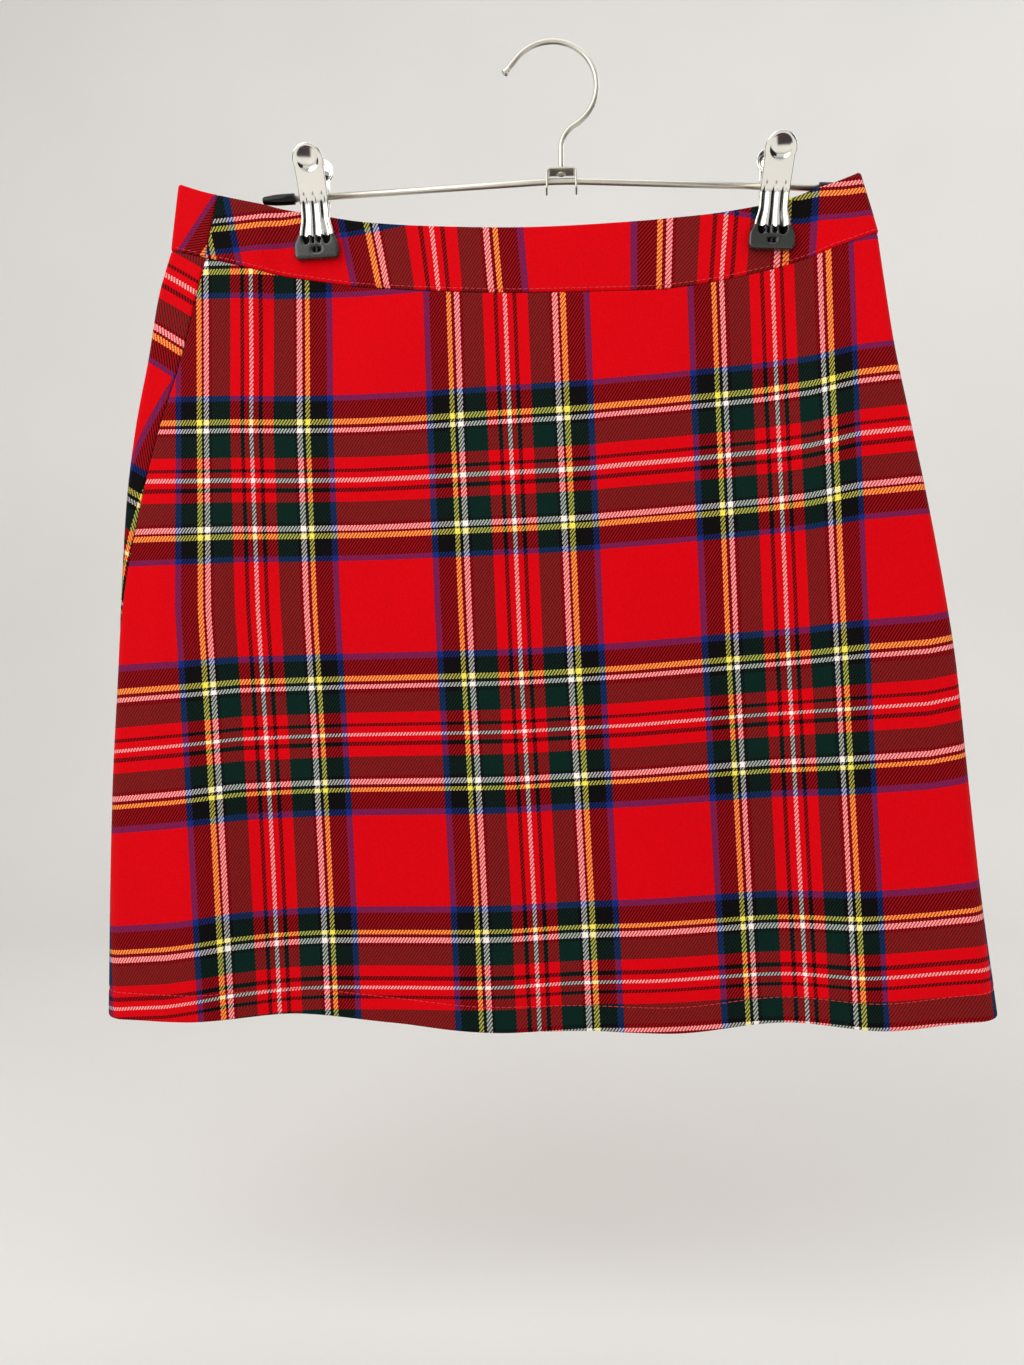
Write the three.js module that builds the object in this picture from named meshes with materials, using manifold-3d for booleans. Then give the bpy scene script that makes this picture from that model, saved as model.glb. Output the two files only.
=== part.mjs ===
// A tartan skirt hung flat by its waist from a wire hanger with two clips.
// Millimetres, +Z up, +X to the wearer's left, -Y towards the viewer of the skirt's front.
// The origin is the top of the hook's inside, where a rail or a wall peg carries it.

import * as THREE from "three";
import { mergeVertices } from "three/addons/utils/BufferGeometryUtils.js";
import Module from "manifold-3d";

const wasm = await Module();
wasm.setup();

// ---------------------------------------------------------------- driving dimensions

const SEAM_GAP = 0.3; // between pieces that touch
const PANEL_WALL = 1.2; // the skirting cloth with its turned edges
const BAND_WALL = 2.0; // the doubled cloth of the waistband
const BAND_PROUD = 0.4; // how far the waistband stands out from the panels
const MIDDLE_HALF_DEPTH = 4.5; // half the depth of the tube at hip height
const HIP_DOWN = 0.35; // where that depth is reached, as a part of the way down
const FLUTE_ONSET = 1.6; // the flutes grow with this power of the way down
const WAIST_FOLD_REACH = 3.5; // how far in from a side fold the cloth is still rounding
const HEM_FOLD_REACH = 12;
const BACK_RISE = 1.6; // the back waistband's edge stands above the front one at the left

const PANEL_COLUMNS = 40;
const PANEL_ROWS = 16;
const BAND_COLUMNS = 52;
const BAND_ROWS = 2;
const FOLD_WEIGHT = 24; // columns crowd where the cloth turns: 1 radian counts as this length

// The waistband's edges, from the left fold (0) to the right fold (1).
const WAIST = [
  { across: 0.0, top: -68.5, seam: -102.7 },
  { across: 0.05, top: -74.2, seam: -107.2 },
  { across: 0.18, top: -83.4, seam: -117.7 },
  { across: 0.35, top: -92.8, seam: -125.9 },
  { across: 0.52, top: -95.4, seam: -128.7 },
  { across: 0.68, top: -93.3, seam: -128.2 },
  { across: 0.84, top: -86.8, seam: -119.3 },
  { across: 0.95, top: -77.8, seam: -107.6 },
  { across: 1.0, top: -71.4, seam: -101.6 },
];

// Half the depth of the waistband: pinched at the clips, open between and beyond them.
const WAIST_DEPTH = [
  { across: 0.0, half: 5.2 },
  { across: 0.06, half: 5.6 },
  { across: 0.125, half: 5.0 },
  { across: 0.165, half: 2.2 },
  { across: 0.25, half: 2.2 },
  { across: 0.33, half: 4.4 },
  { across: 0.5, half: 5.4 },
  { across: 0.72, half: 4.4 },
  { across: 0.81, half: 2.2 },
  { across: 0.9, half: 2.2 },
  { across: 0.94, half: 5.4 },
  { across: 0.97, half: 5.6 },
  { across: 1.0, half: 5.6 },
];

// The side folds of the waistband, and how far its side seams are rolled round them.
const BAND_SIDES = [
  { down: 0, left: -193.8, right: 155.8, leftRoll: 25.5, rightRoll: 13 },
  { down: 1, left: -197.8, right: 164.6, leftRoll: 22.7, rightRoll: 12 },
];

// The same for the panels, from the waist seam (0) to the hem (1). A roll is the length of
// cloth between fold and seam: the left seam lies on the front and the right one on the back.
const PANEL_SIDES = [
  { down: 0.0, left: -197.6, right: 164.0, leftRoll: 22.4, rightRoll: 12 },
  { down: 0.06, left: -204.4, right: 167.4, leftRoll: 23.4, rightRoll: 11.5 },
  { down: 0.14, left: -209.7, right: 172.3, leftRoll: 21, rightRoll: 11 },
  { down: 0.23, left: -216.5, right: 179.6, leftRoll: 17, rightRoll: 10 },
  { down: 0.33, left: -221.4, right: 187.8, leftRoll: 13, rightRoll: 9 },
  { down: 0.45, left: -224.0, right: 196.5, leftRoll: 7, rightRoll: 7.5 },
  { down: 0.55, left: -225.6, right: 202.5, leftRoll: 1, rightRoll: 6 },
  { down: 0.7, left: -228.4, right: 208.5, leftRoll: -1.5, rightRoll: 4.5 },
  { down: 0.85, left: -229.6, right: 214.8, leftRoll: -2, rightRoll: 3.5 },
  { down: 1.0, left: -230.0, right: 222.7, leftRoll: -2, rightRoll: 3 },
];

// The hem's height and how far front and back stand out there: crests and troughs of the flutes.
const HEM = [
  { across: 0.0, height: -498.5, front: 14, back: 12 },
  { across: 0.1, height: -499.3, front: 16, back: 13 },
  { across: 0.22, height: -497.4, front: 5, back: 8.5 },
  { across: 0.33, height: -500.6, front: 7, back: 12 },
  { across: 0.44, height: -503.9, front: 10, back: 8 },
  { across: 0.545, height: -503.3, front: 6, back: 9 },
  { across: 0.635, height: -503.1, front: 9, back: 11.5 },
  { across: 0.77, height: -497.6, front: 5, back: 8 },
  { across: 0.868, height: -496.9, front: 18, back: 11 },
  { across: 0.95, height: -494.0, front: 14, back: 14 },
  { across: 1.0, height: -492.3, front: 12, back: 12 },
];

const WIRE = 2.8; // hook wire
const HOOK_INSIDE = 21.9; // radius of the hook's inside
const HOOK_START = 165; // degrees, the free tip
const HOOK_END = -60; // degrees, where the crook turns back to the stem
const HOOK_TIP = 3.6; // the flattened bead on the free tip
const STEM_X = 5.2;
const STEM_HEAD = 4.8; // the riveted foot of the stem
const STEM_HEAD_THICK = 1.4;

const BAR_WIRE = 3.2;
const BAR_LEFT = { x: -148, z: -76.8 };
const BAR_PEAK = { x: 5.4, z: -70.2 };
const BAR_RIGHT = { x: 150.5, z: -78.0 };
const BAR_BEND = 14; // half the length of the soft bend at its middle
const BORE_CLEARANCE = 0.3; // on the radius, round the bar and the stem

const SLEEVE = { diameter: 5.5, length: 17, cap: 1.4, corner: 1.2 };

const SADDLE = { left: -2.5, right: 13.3, top: -64.9, bottom: -77.1, depth: 8.4, sheet: 1, slack: 0.15 };

const CLIP_X = [-121.4, 112.4];
const CLIP_NAMES = ["left_clip", "right_clip"];
const LEVER = {
  sheet: 1,
  thumb: 15.6, // width of the thumb disc
  width: 14.7, // of the front lever; the back one fits between the front one's ears
  jawWidth: 18,
  flareDown: 18, // where the body starts to widen, below the bar
  endDown: 21.4, // the metal's lower edge, below the bar
};
// Distances from the bar's axis at the top, knee and end; then the top's height above the bar,
// half the body's width, and half the thumb disc's height, which its lean makes shorter.
const FRONT_LEVER = { top: 21, knee: 5.6, end: 3.3, height: 17.6, body: 7.35, disc: 6.5 };
const BACK_LEVER = { top: 9.5, knee: 5.2, end: 3.3, height: 24.5, body: 6.05, disc: 7.7 };
const LEVER_KNEE = -6; // above the bar
const EAR = { sheet: 1, round: 3.2, step: 1.3 };
const COIL = { outer: 2.9, inner: 1.9, length: 9.4 };
const JAW = { width: 23, up: -21.7, down: -33.7, corner: 2.6, thick: 3.6, round: 1.2 };

const FABRIC = { color: 0x8c1420, roughness: 0.88, metalness: 0 };
const BAND_FABRIC = { color: 0x7a1220, roughness: 0.88, metalness: 0 };
const STEEL = { color: 0xc4c2bd, roughness: 0.34, metalness: 1 };
const PLATED = { color: 0xd8d8da, roughness: 0.14, metalness: 1 };
const VINYL = { color: 0x111112, roughness: 0.42, metalness: 0 };

const hanger = new THREE.Group();
hanger.name = "hanger";
const skirt = new THREE.Group();
skirt.name = "skirt";

function mesh(name, geometry, finish) {
  const made = new THREE.Mesh(geometry, new THREE.MeshStandardMaterial(finish));
  made.name = name;
  return made;
}

const mix = (a, b, t) => a + (b - a) * t;
const ease = (t) => t * t * (3 - 2 * t);
const clamp01 = (t) => Math.min(Math.max(t, 0), 1);

// ---------------------------------------------------------------- reading the tables

/** A smooth curve through one column of a table. It never swings past the rows. */
function along(rows, key, column, at) {
  const last = rows.length - 1;
  let i = 0;
  while (i < last - 1 && at > rows[i + 1][key]) i += 1;
  const rise = (k) => (rows[k + 1][column] - rows[k][column]) / (rows[k + 1][key] - rows[k][key]);
  const slope = (k) => {
    if (k === 0) return rise(0);
    if (k === last) return rise(last - 1);
    const before = rise(k - 1);
    const after = rise(k);
    return before * after <= 0 ? 0 : (2 * before * after) / (before + after);
  };
  const span = rows[i + 1][key] - rows[i][key];
  const t = clamp01((at - rows[i][key]) / span);
  const t2 = t * t;
  const t3 = t2 * t;
  return (
    (2 * t3 - 3 * t2 + 1) * rows[i][column] +
    (t3 - 2 * t2 + t) * span * slope(i) +
    (3 * t2 - 2 * t3) * rows[i + 1][column] +
    (t3 - t2) * span * slope(i + 1)
  );
}

// ---------------------------------------------------------------- the tube of cloth

/**
 * One level of the tube seen from above: a closed loop that starts at the left fold, runs
 * along the front to the right fold and returns along the back. Lengths along it count
 * from the left fold.
 */
function loopOfCloth({ left, right, reach, front, back }) {
  const width = right - left;
  const stations = [];
  const roundSteps = 12;
  const flatSteps = 110;
  for (let i = 0; i < roundSteps; i += 1) {
    stations.push((reach / width) * (1 - Math.cos((i / roundSteps) * (Math.PI / 2))));
  }
  for (let i = 0; i <= flatSteps; i += 1) {
    stations.push(mix(reach / width, 1 - reach / width, i / flatSteps));
  }
  for (let i = roundSteps - 1; i >= 0; i -= 1) stations.push(1 - stations[i]);

  const rounding = (across) => {
    const inward = clamp01((Math.min(across, 1 - across) * width) / reach);
    return Math.sqrt(1 - (1 - inward) ** 2);
  };
  const points = stations.map((s) => [left + s * width, -front(s) * rounding(s)]);
  for (const s of [...stations].reverse().slice(1)) {
    points.push([left + s * width, back(s) * rounding(s)]);
  }
  const lengths = [0];
  for (let i = 1; i < points.length; i += 1) {
    const step = Math.hypot(points[i][0] - points[i - 1][0], points[i][1] - points[i - 1][1]);
    lengths.push(lengths[i - 1] + step);
  }
  const total = lengths.at(-1);
  const at = (length) => {
    const wrapped = ((length % total) + total) % total;
    let low = 0;
    let high = points.length - 1;
    while (high - low > 1) {
      const middle = (low + high) >> 1;
      if (lengths[middle] <= wrapped) low = middle;
      else high = middle;
    }
    const t = (wrapped - lengths[low]) / (lengths[high] - lengths[low]);
    return [mix(points[low][0], points[high][0], t), mix(points[low][1], points[high][1], t)];
  };
  const heading = (length) => {
    const probe = 0.4;
    const [x0, y0] = at(length - probe);
    const [x1, y1] = at(length + probe);
    return Math.atan2(y1 - y0, x1 - x0);
  };
  return { left, width, total, at, heading, rightFold: lengths[stations.length - 1] };
}

/** Lengths from one seam to the other, closer together where the cloth turns. */
function spread(loop, from, to, columns) {
  const steps = 600;
  const measured = [0];
  let before = loop.heading(from);
  for (let i = 1; i <= steps; i += 1) {
    const now = loop.heading(mix(from, to, i / steps));
    let turn = Math.abs(now - before);
    if (turn > Math.PI) turn = 2 * Math.PI - turn;
    measured.push(measured[i - 1] + (to - from) / steps + FOLD_WEIGHT * turn);
    before = now;
  }
  const lengths = [];
  let k = 0;
  for (let i = 0; i <= columns; i += 1) {
    const wanted = (measured[steps] * i) / columns;
    while (k < steps - 1 && measured[k + 1] < wanted) k += 1;
    const t = clamp01((wanted - measured[k]) / (measured[k + 1] - measured[k]));
    lengths.push(mix(from, to, (k + t) / steps));
  }
  return lengths;
}

/** A closed wall: an outer and an inner grid of points, joined round their edges. */
function wallGeometry(outer, inner) {
  const rows = outer.length;
  const columns = outer[0].length;
  const positions = [...outer.flat(), ...inner.flat()].flat();
  const index = [];
  const out = (k, i) => k * columns + i;
  const inn = (k, i) => rows * columns + out(k, i);
  const quad = (a, b, c, d) => index.push(a, b, c, a, c, d);
  for (let k = 0; k < rows - 1; k += 1) {
    for (let i = 0; i < columns - 1; i += 1) {
      quad(out(k, i), out(k + 1, i), out(k + 1, i + 1), out(k, i + 1));
      quad(inn(k, i), inn(k, i + 1), inn(k + 1, i + 1), inn(k + 1, i));
    }
  }
  const endRow = rows - 1;
  const endColumn = columns - 1;
  for (let i = 0; i < endColumn; i += 1) {
    quad(out(0, i), out(0, i + 1), inn(0, i + 1), inn(0, i));
    quad(out(endRow, i + 1), out(endRow, i), inn(endRow, i), inn(endRow, i + 1));
  }
  for (let k = 0; k < endRow; k += 1) {
    quad(out(k, 0), inn(k, 0), inn(k + 1, 0), out(k + 1, 0));
    quad(out(k, endColumn), out(k + 1, endColumn), inn(k + 1, endColumn), inn(k, endColumn));
  }
  const geometry = new THREE.BufferGeometry();
  geometry.setAttribute("position", new THREE.Float32BufferAttribute(positions, 3));
  geometry.setIndex(index);
  geometry.computeVertexNormals();
  return geometry;
}

/** The part of the tube between the side seams, on the front or on the back. */
function clothPiece({ side, rows, columns, wall, sides, loopAt, heightAt }) {
  const outer = [];
  const inner = [];
  for (let k = 0; k <= rows; k += 1) {
    const down = k / rows;
    const loop = loopAt(down);
    const leftSeam = along(sides, "down", "leftRoll", down);
    const rightSeam = loop.rightFold + along(sides, "down", "rightRoll", down);
    const half = SEAM_GAP / 2;
    const from = side === "front" ? leftSeam + half : rightSeam + half;
    const to = side === "front" ? rightSeam - half : loop.total + leftSeam - half;
    const outerRow = [];
    const innerRow = [];
    const height = (x, y) => heightAt(clamp01((x - loop.left) / loop.width), down, y > 0);
    for (const length of spread(loop, from, to, columns)) {
      const [x, y] = loop.at(length);
      const heading = loop.heading(length);
      const innerX = x - wall * Math.sin(heading);
      outerRow.push([x, y, height(x, y)]);
      innerRow.push([innerX, y + wall * Math.cos(heading), height(innerX, y)]);
    }
    outer.push(outerRow);
    inner.push(innerRow);
  }
  return wallGeometry(outer, inner);
}

function panelLoop(down) {
  const left = along(PANEL_SIDES, "down", "left", down);
  const right = along(PANEL_SIDES, "down", "right", down);
  const grown = down ** FLUTE_ONSET;
  const depth = (column) => (across) => {
    const waist = along(WAIST_DEPTH, "across", "half", across) - BAND_PROUD;
    const plain = mix(waist, MIDDLE_HALF_DEPTH, ease(clamp01(down / HIP_DOWN)));
    return mix(plain, along(HEM, "across", column, across), grown);
  };
  const reach = mix(WAIST_FOLD_REACH, HEM_FOLD_REACH, grown);
  return loopOfCloth({ left, right, reach, front: depth("front"), back: depth("back") });
}

function panel(side) {
  return clothPiece({
    side,
    rows: PANEL_ROWS,
    columns: PANEL_COLUMNS,
    wall: PANEL_WALL,
    sides: PANEL_SIDES,
    loopAt: panelLoop,
    heightAt: (across, down) => {
      const seam = along(WAIST, "across", "seam", across) - SEAM_GAP / 2;
      return mix(seam, along(HEM, "across", "height", across), down);
    },
  });
}

function waistband(side) {
  const depth = (across) => along(WAIST_DEPTH, "across", "half", across);
  return clothPiece({
    side,
    rows: BAND_ROWS,
    columns: BAND_COLUMNS,
    wall: BAND_WALL,
    sides: BAND_SIDES,
    loopAt: (down) =>
      loopOfCloth({
        left: along(BAND_SIDES, "down", "left", down),
        right: along(BAND_SIDES, "down", "right", down),
        reach: WAIST_FOLD_REACH,
        front: depth,
        back: depth,
      }),
    heightAt: (across, down, behind) => {
      const rise = behind ? BACK_RISE * ease(clamp01(1 - across / 0.3)) * clamp01(across / 0.02) : 0;
      const seam = along(WAIST, "across", "seam", across) + SEAM_GAP / 2;
      return mix(along(WAIST, "across", "top", across) + rise, seam, down);
    },
  });
}

skirt.add(mesh("front_panel", panel("front"), FABRIC));
skirt.add(mesh("back_panel", panel("back"), FABRIC));
skirt.add(mesh("front_waistband", waistband("front"), BAND_FABRIC));
skirt.add(mesh("back_waistband", waistband("back"), BAND_FABRIC));

// ---------------------------------------------------------------- joining and cutting

function solid(geometry) {
  const bare = geometry.index ? geometry.toNonIndexed() : geometry.clone();
  bare.deleteAttribute("normal");
  bare.deleteAttribute("uv");
  const merged = mergeVertices(bare, 1e-4);
  return new wasm.Manifold(
    new wasm.Mesh({
      numProp: 3,
      vertProperties: new Float32Array(merged.attributes.position.array),
      triVerts: new Uint32Array(merged.index.array),
    }),
  );
}

function geometryOf(body) {
  const shape = body.getMesh();
  const geometry = new THREE.BufferGeometry();
  geometry.setAttribute("position", new THREE.BufferAttribute(shape.vertProperties, 3));
  geometry.setIndex(new THREE.BufferAttribute(shape.triVerts, 1));
  geometry.computeVertexNormals();
  return geometry;
}

/** A round rod along X. */
function rodAlongX(radius, length, sides = 20) {
  return new THREE.CylinderGeometry(radius, radius, length, sides).rotateZ(Math.PI / 2);
}

/** A flat outline drawn in (y, z), given a thickness along X and centred on x. */
function slabAcross(points, x, thickness) {
  const outline = new THREE.Shape(points.map(([y, z]) => new THREE.Vector2(y, z)));
  const slab = new THREE.ExtrudeGeometry(outline, { depth: thickness, bevelEnabled: false });
  return slab
    .applyMatrix4(new THREE.Matrix4().set(0, 0, 1, 0, 1, 0, 0, 0, 0, 1, 0, 0, 0, 0, 0, 1))
    .translate(x - thickness / 2, 0, 0);
}

/** An outline drawn in (x, z), given a depth along Y and centred on y. */
function slabThrough(outline, y, depth, curveSegments = 10) {
  return new THREE.ExtrudeGeometry(outline, { depth, bevelEnabled: false, curveSegments })
    .rotateX(Math.PI / 2)
    .translate(0, y + depth / 2, 0);
}

/** A round wire along a path. Its section has two sides for each of curveSegments. */
function wireGeometry(path, diameter, steps, curveSegments) {
  const section = new THREE.Shape();
  section.absarc(0, 0, diameter / 2, 0, 2 * Math.PI);
  return new THREE.ExtrudeGeometry(section, {
    steps,
    bevelEnabled: false,
    extrudePath: path,
    curveSegments,
  });
}

// ---------------------------------------------------------------- hook

/** An arc in the XZ plane, in degrees from +X, going clockwise when end is below start. */
class UprightArc extends THREE.Curve {
  constructor(x, z, radius, start, end) {
    super();
    Object.assign(this, { x, z, radius, start, end });
  }

  getPoint(t, target = new THREE.Vector3()) {
    const angle = THREE.MathUtils.degToRad(mix(this.start, this.end, t));
    return target.set(
      this.x + this.radius * Math.cos(angle),
      0,
      this.z + this.radius * Math.sin(angle),
    );
  }
}

function hook() {
  const crook = HOOK_INSIDE + WIRE / 2;
  const leave = THREE.MathUtils.degToRad(HOOK_END);
  const crookEnd = { x: crook * Math.cos(leave), z: -HOOK_INSIDE + crook * Math.sin(leave) };
  const turnBack = (crookEnd.x - STEM_X) / (1 - Math.cos(leave));
  const turnCentre = {
    x: crookEnd.x + turnBack * Math.cos(leave),
    z: crookEnd.z + turnBack * Math.sin(leave),
  };
  const stemTop = { x: turnCentre.x - turnBack, z: turnCentre.z };
  const saddleUnder = SADDLE.top - SADDLE.sheet;
  const footTop = saddleUnder - SEAM_GAP;
  const path = new THREE.CurvePath();
  path.add(new UprightArc(0, -HOOK_INSIDE, crook, HOOK_START, HOOK_END));
  path.add(new UprightArc(turnCentre.x, turnCentre.z, turnBack, 120, 180));
  path.add(
    new THREE.LineCurve3(
      new THREE.Vector3(stemTop.x, 0, stemTop.z),
      new THREE.Vector3(stemTop.x, 0, footTop - STEM_HEAD_THICK / 2),
    ),
  );
  const wire = solid(wireGeometry(path, WIRE, 44, 5));
  const tipAngle = THREE.MathUtils.degToRad(HOOK_START);
  const bead = solid(
    new THREE.SphereGeometry(HOOK_TIP / 2, 14, 10)
      .scale(0.8, 1, 1)
      .translate(crook * Math.cos(tipAngle), 0, -HOOK_INSIDE + crook * Math.sin(tipAngle)),
  );
  const foot = solid(
    new THREE.CylinderGeometry(STEM_HEAD / 2, STEM_HEAD / 2 - 0.5, STEM_HEAD_THICK, 20)
      .rotateX(Math.PI / 2)
      .translate(stemTop.x, 0, footTop - STEM_HEAD_THICK / 2),
  );
  return geometryOf(wire.add(bead).add(foot));
}

// ---------------------------------------------------------------- saddle, bar, sleeves

function barHeight(x) {
  const end = x < BAR_PEAK.x ? BAR_LEFT : BAR_RIGHT;
  return mix(BAR_PEAK.z, end.z, (x - BAR_PEAK.x) / (end.x - BAR_PEAK.x));
}

function saddle() {
  const { left, right, top, bottom, depth, sheet } = SADDLE;
  const corner = 2.2;
  const outline = new THREE.Shape();
  outline.moveTo(left, bottom);
  outline.lineTo(left, top - corner);
  outline.absarc(left + corner, top - corner, corner, Math.PI, Math.PI / 2, true);
  outline.lineTo(right - corner, top);
  outline.absarc(right - corner, top - corner, corner, Math.PI / 2, 0, true);
  outline.lineTo(right, bottom);
  outline.lineTo(right - sheet, bottom);
  outline.lineTo(right - sheet, top - corner);
  outline.absarc(right - corner, top - corner, corner - sheet, 0, Math.PI / 2, false);
  outline.lineTo(left + corner, top - sheet);
  outline.absarc(left + corner, top - corner, corner - sheet, Math.PI / 2, Math.PI, false);
  outline.lineTo(left + sheet, bottom);
  outline.closePath();
  const strap = solid(slabThrough(outline, 0, depth, 5));
  const barMiddle = (left + right) / 2;
  const barHole = solid(
    rodAlongX(BAR_WIRE / 2 + BORE_CLEARANCE + SADDLE.slack, right - left + 4).translate(
      barMiddle,
      0,
      (barHeight(left) + barHeight(right)) / 2,
    ),
  );
  const stemHole = solid(
    new THREE.CylinderGeometry(WIRE / 2 + BORE_CLEARANCE, WIRE / 2 + BORE_CLEARANCE, 4, 20)
      .rotateX(Math.PI / 2)
      .translate(STEM_X, 0, top - sheet / 2),
  );
  return geometryOf(strap.subtract(barHole).subtract(stemHole));
}

function bar() {
  const point = ({ x, z }) => new THREE.Vector3(x, 0, z);
  const bendLeft = { x: BAR_PEAK.x - BAR_BEND, z: barHeight(BAR_PEAK.x - BAR_BEND) };
  const bendRight = { x: BAR_PEAK.x + BAR_BEND, z: barHeight(BAR_PEAK.x + BAR_BEND) };
  const path = new THREE.CurvePath();
  path.add(new THREE.LineCurve3(point(BAR_LEFT), point(bendLeft)));
  path.add(new THREE.QuadraticBezierCurve3(point(bendLeft), point(BAR_PEAK), point(bendRight)));
  path.add(new THREE.LineCurve3(point(bendRight), point(BAR_RIGHT)));
  return wireGeometry(path, BAR_WIRE, 16, 5);
}

/** A blind vinyl cap that is pushed over one end of the bar. */
function sleeve(end) {
  const bore = BAR_WIRE / 2 + BORE_CLEARANCE;
  const radius = SLEEVE.diameter / 2;
  const profile = [[0, 0], [radius - SLEEVE.corner, 0]];
  for (const turn of [30, 60, 90]) {
    const angle = THREE.MathUtils.degToRad(turn);
    profile.push([
      radius - SLEEVE.corner * (1 - Math.sin(angle)),
      SLEEVE.corner * (1 - Math.cos(angle)),
    ]);
  }
  profile.push([radius, SLEEVE.length], [bore, SLEEVE.length], [bore, SLEEVE.cap], [0, SLEEVE.cap]);
  const cap = new THREE.LatheGeometry(profile.map(([r, h]) => new THREE.Vector2(r, h)), 16);
  const inward = Math.sign(BAR_PEAK.x - end.x);
  const slope = Math.atan2(BAR_PEAK.z - end.z, BAR_PEAK.x - end.x);
  const start = SLEEVE.cap + SEAM_GAP;
  return cap
    .rotateZ((-Math.PI / 2) * inward)
    .rotateY(inward > 0 ? -slope : -(slope - Math.PI))
    .translate(end.x - inward * start, 0, end.z);
}

hanger.add(mesh("hanger_hook", hook(), STEEL));
hanger.add(mesh("hanger_saddle", saddle(), STEEL));
hanger.add(mesh("hanger_bar", bar(), STEEL));
hanger.add(mesh("left_bar_sleeve", sleeve(BAR_LEFT), VINYL));
hanger.add(mesh("right_bar_sleeve", sleeve(BAR_RIGHT), VINYL));

// ---------------------------------------------------------------- clips

/** The lever seen from the front: thumb disc, body and the wider end that holds the jaw tip. */
function leverOutline({ body: half, disc, height }) {
  const middle = height - disc;
  const shoulder = Math.asin((2 * half) / LEVER.thumb);
  const outline = new THREE.Shape();
  outline.moveTo(-LEVER.jawWidth / 2, -LEVER.endDown);
  outline.lineTo(-half, -LEVER.flareDown);
  outline.lineTo(-half, middle - disc * Math.cos(shoulder));
  outline.absellipse(0, middle, LEVER.thumb / 2, disc, -Math.PI / 2 - shoulder, -Math.PI / 2 + shoulder, true);
  outline.lineTo(half, -LEVER.flareDown);
  outline.lineTo(LEVER.jawWidth / 2, -LEVER.endDown);
  outline.closePath();
  return outline;
}

/** One lever of a clip about the bar's axis. side is -1 in front of the bar, +1 behind it. */
function lever(reach, side) {
  const profile = [
    [side * reach.top, reach.height],
    [side * reach.knee, LEVER_KNEE],
    [side * reach.end, -LEVER.endDown],
    [side * (reach.end + LEVER.sheet), -LEVER.endDown],
    [side * (reach.knee + LEVER.sheet), LEVER_KNEE + 0.3],
    [side * (reach.top + LEVER.sheet), reach.height + 0.3],
  ];
  if (side > 0) profile.reverse();
  const bent = solid(slabAcross(profile, 0, LEVER.thumb + 8));
  const outline = solid(slabThrough(leverOutline(reach), 0, 80, 14));
  let made = bent.intersect(outline);
  const kneeGap = mix(reach.knee, reach.top, -LEVER_KNEE / (reach.height - LEVER_KNEE));
  const ear = [];
  for (let turn = 90; turn <= 270; turn += 20) {
    const angle = THREE.MathUtils.degToRad(turn);
    ear.push([-side * -EAR.round * Math.cos(angle), EAR.round * Math.sin(angle)]);
  }
  ear.push([side * (reach.knee + LEVER.sheet / 2 - 0.1), LEVER_KNEE + 0.5]);
  ear.push([side * (kneeGap + LEVER.sheet / 2), 0]);
  const outward = LEVER.width / 2 - EAR.sheet / 2 - (side > 0 ? EAR.step : 0);
  if (side < 0) ear.reverse();
  for (const hand of [-1, 1]) made = made.add(solid(slabAcross(ear, hand * outward, EAR.sheet)));
  return made.subtract(solid(rodAlongX(BAR_WIRE / 2 + BORE_CLEARANCE, LEVER.width + 6)));
}

/** The dipped vinyl tip of a jaw: a rounded block with a flat inner face. */
function jawTip(side) {
  const { width, up, down, corner, thick, round } = JAW;
  const outline = new THREE.Shape();
  const low = down + round;
  const half = width / 2;
  outline.moveTo(-LEVER.jawWidth / 2 - 0.4, up);
  outline.quadraticCurveTo(-half, up - 1, -half, up - 1 - corner);
  outline.lineTo(-half, low + corner);
  outline.quadraticCurveTo(-half, low - 1, -half + corner, low - 1);
  outline.lineTo(half - corner, low - 1);
  outline.quadraticCurveTo(half, low - 1, half, low + corner);
  outline.lineTo(half, up - 1 - corner);
  outline.quadraticCurveTo(half, up - 1, LEVER.jawWidth / 2 + 0.4, up);
  outline.closePath();
  const near = 2.2 + SEAM_GAP;
  return slabThrough(outline, side * (near + thick / 2), thick, 4);
}

function coil() {
  const { outer, inner, length } = COIL;
  const profile = [[inner, 0], [outer, 0], [outer, length], [inner, length], [inner, 0]];
  return new THREE.LatheGeometry(profile.map(([r, h]) => new THREE.Vector2(r, h)), 16)
    .translate(0, -length / 2, 0)
    .rotateZ(Math.PI / 2);
}

CLIP_X.forEach((x, i) => {
  const clip = new THREE.Group();
  clip.position.set(x, 0, barHeight(x));
  clip.rotation.y = -Math.atan2(barHeight(x + 1) - barHeight(x - 1), 2);
  const name = CLIP_NAMES[i];
  clip.add(mesh(`${name}_front_lever`, geometryOf(lever(FRONT_LEVER, -1)), PLATED));
  clip.add(mesh(`${name}_back_lever`, geometryOf(lever(BACK_LEVER, 1)), PLATED));
  clip.add(mesh(`${name}_coil`, coil(), STEEL));
  clip.add(mesh(`${name}_front_tip`, jawTip(-1), VINYL));
  clip.add(mesh(`${name}_back_tip`, jawTip(1), VINYL));
  hanger.add(clip);
});

const part = new THREE.Group();
part.name = "tartan_skirt_on_clip_hanger";
part.add(hanger, skirt);

export default part;
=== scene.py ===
# %% [markdown]
# # A tartan skirt on a clip hanger
#
# The skirt is a flat tube of four cloth pieces: a front panel, a back panel and the two
# halves of a shaped waistband. Two sprung clips pinch it to a wire hanger. The packed
# model gives every solid its place, and this lesson puts the real surfaces there: a woven
# twill with its tartan sett, sewn seams and a stitched hem, drawn wire, plated pressings
# and dipped vinyl.

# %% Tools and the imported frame
import math

import bmesh
import bpy
import numpy as np
from mathutils import Matrix, Vector


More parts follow.
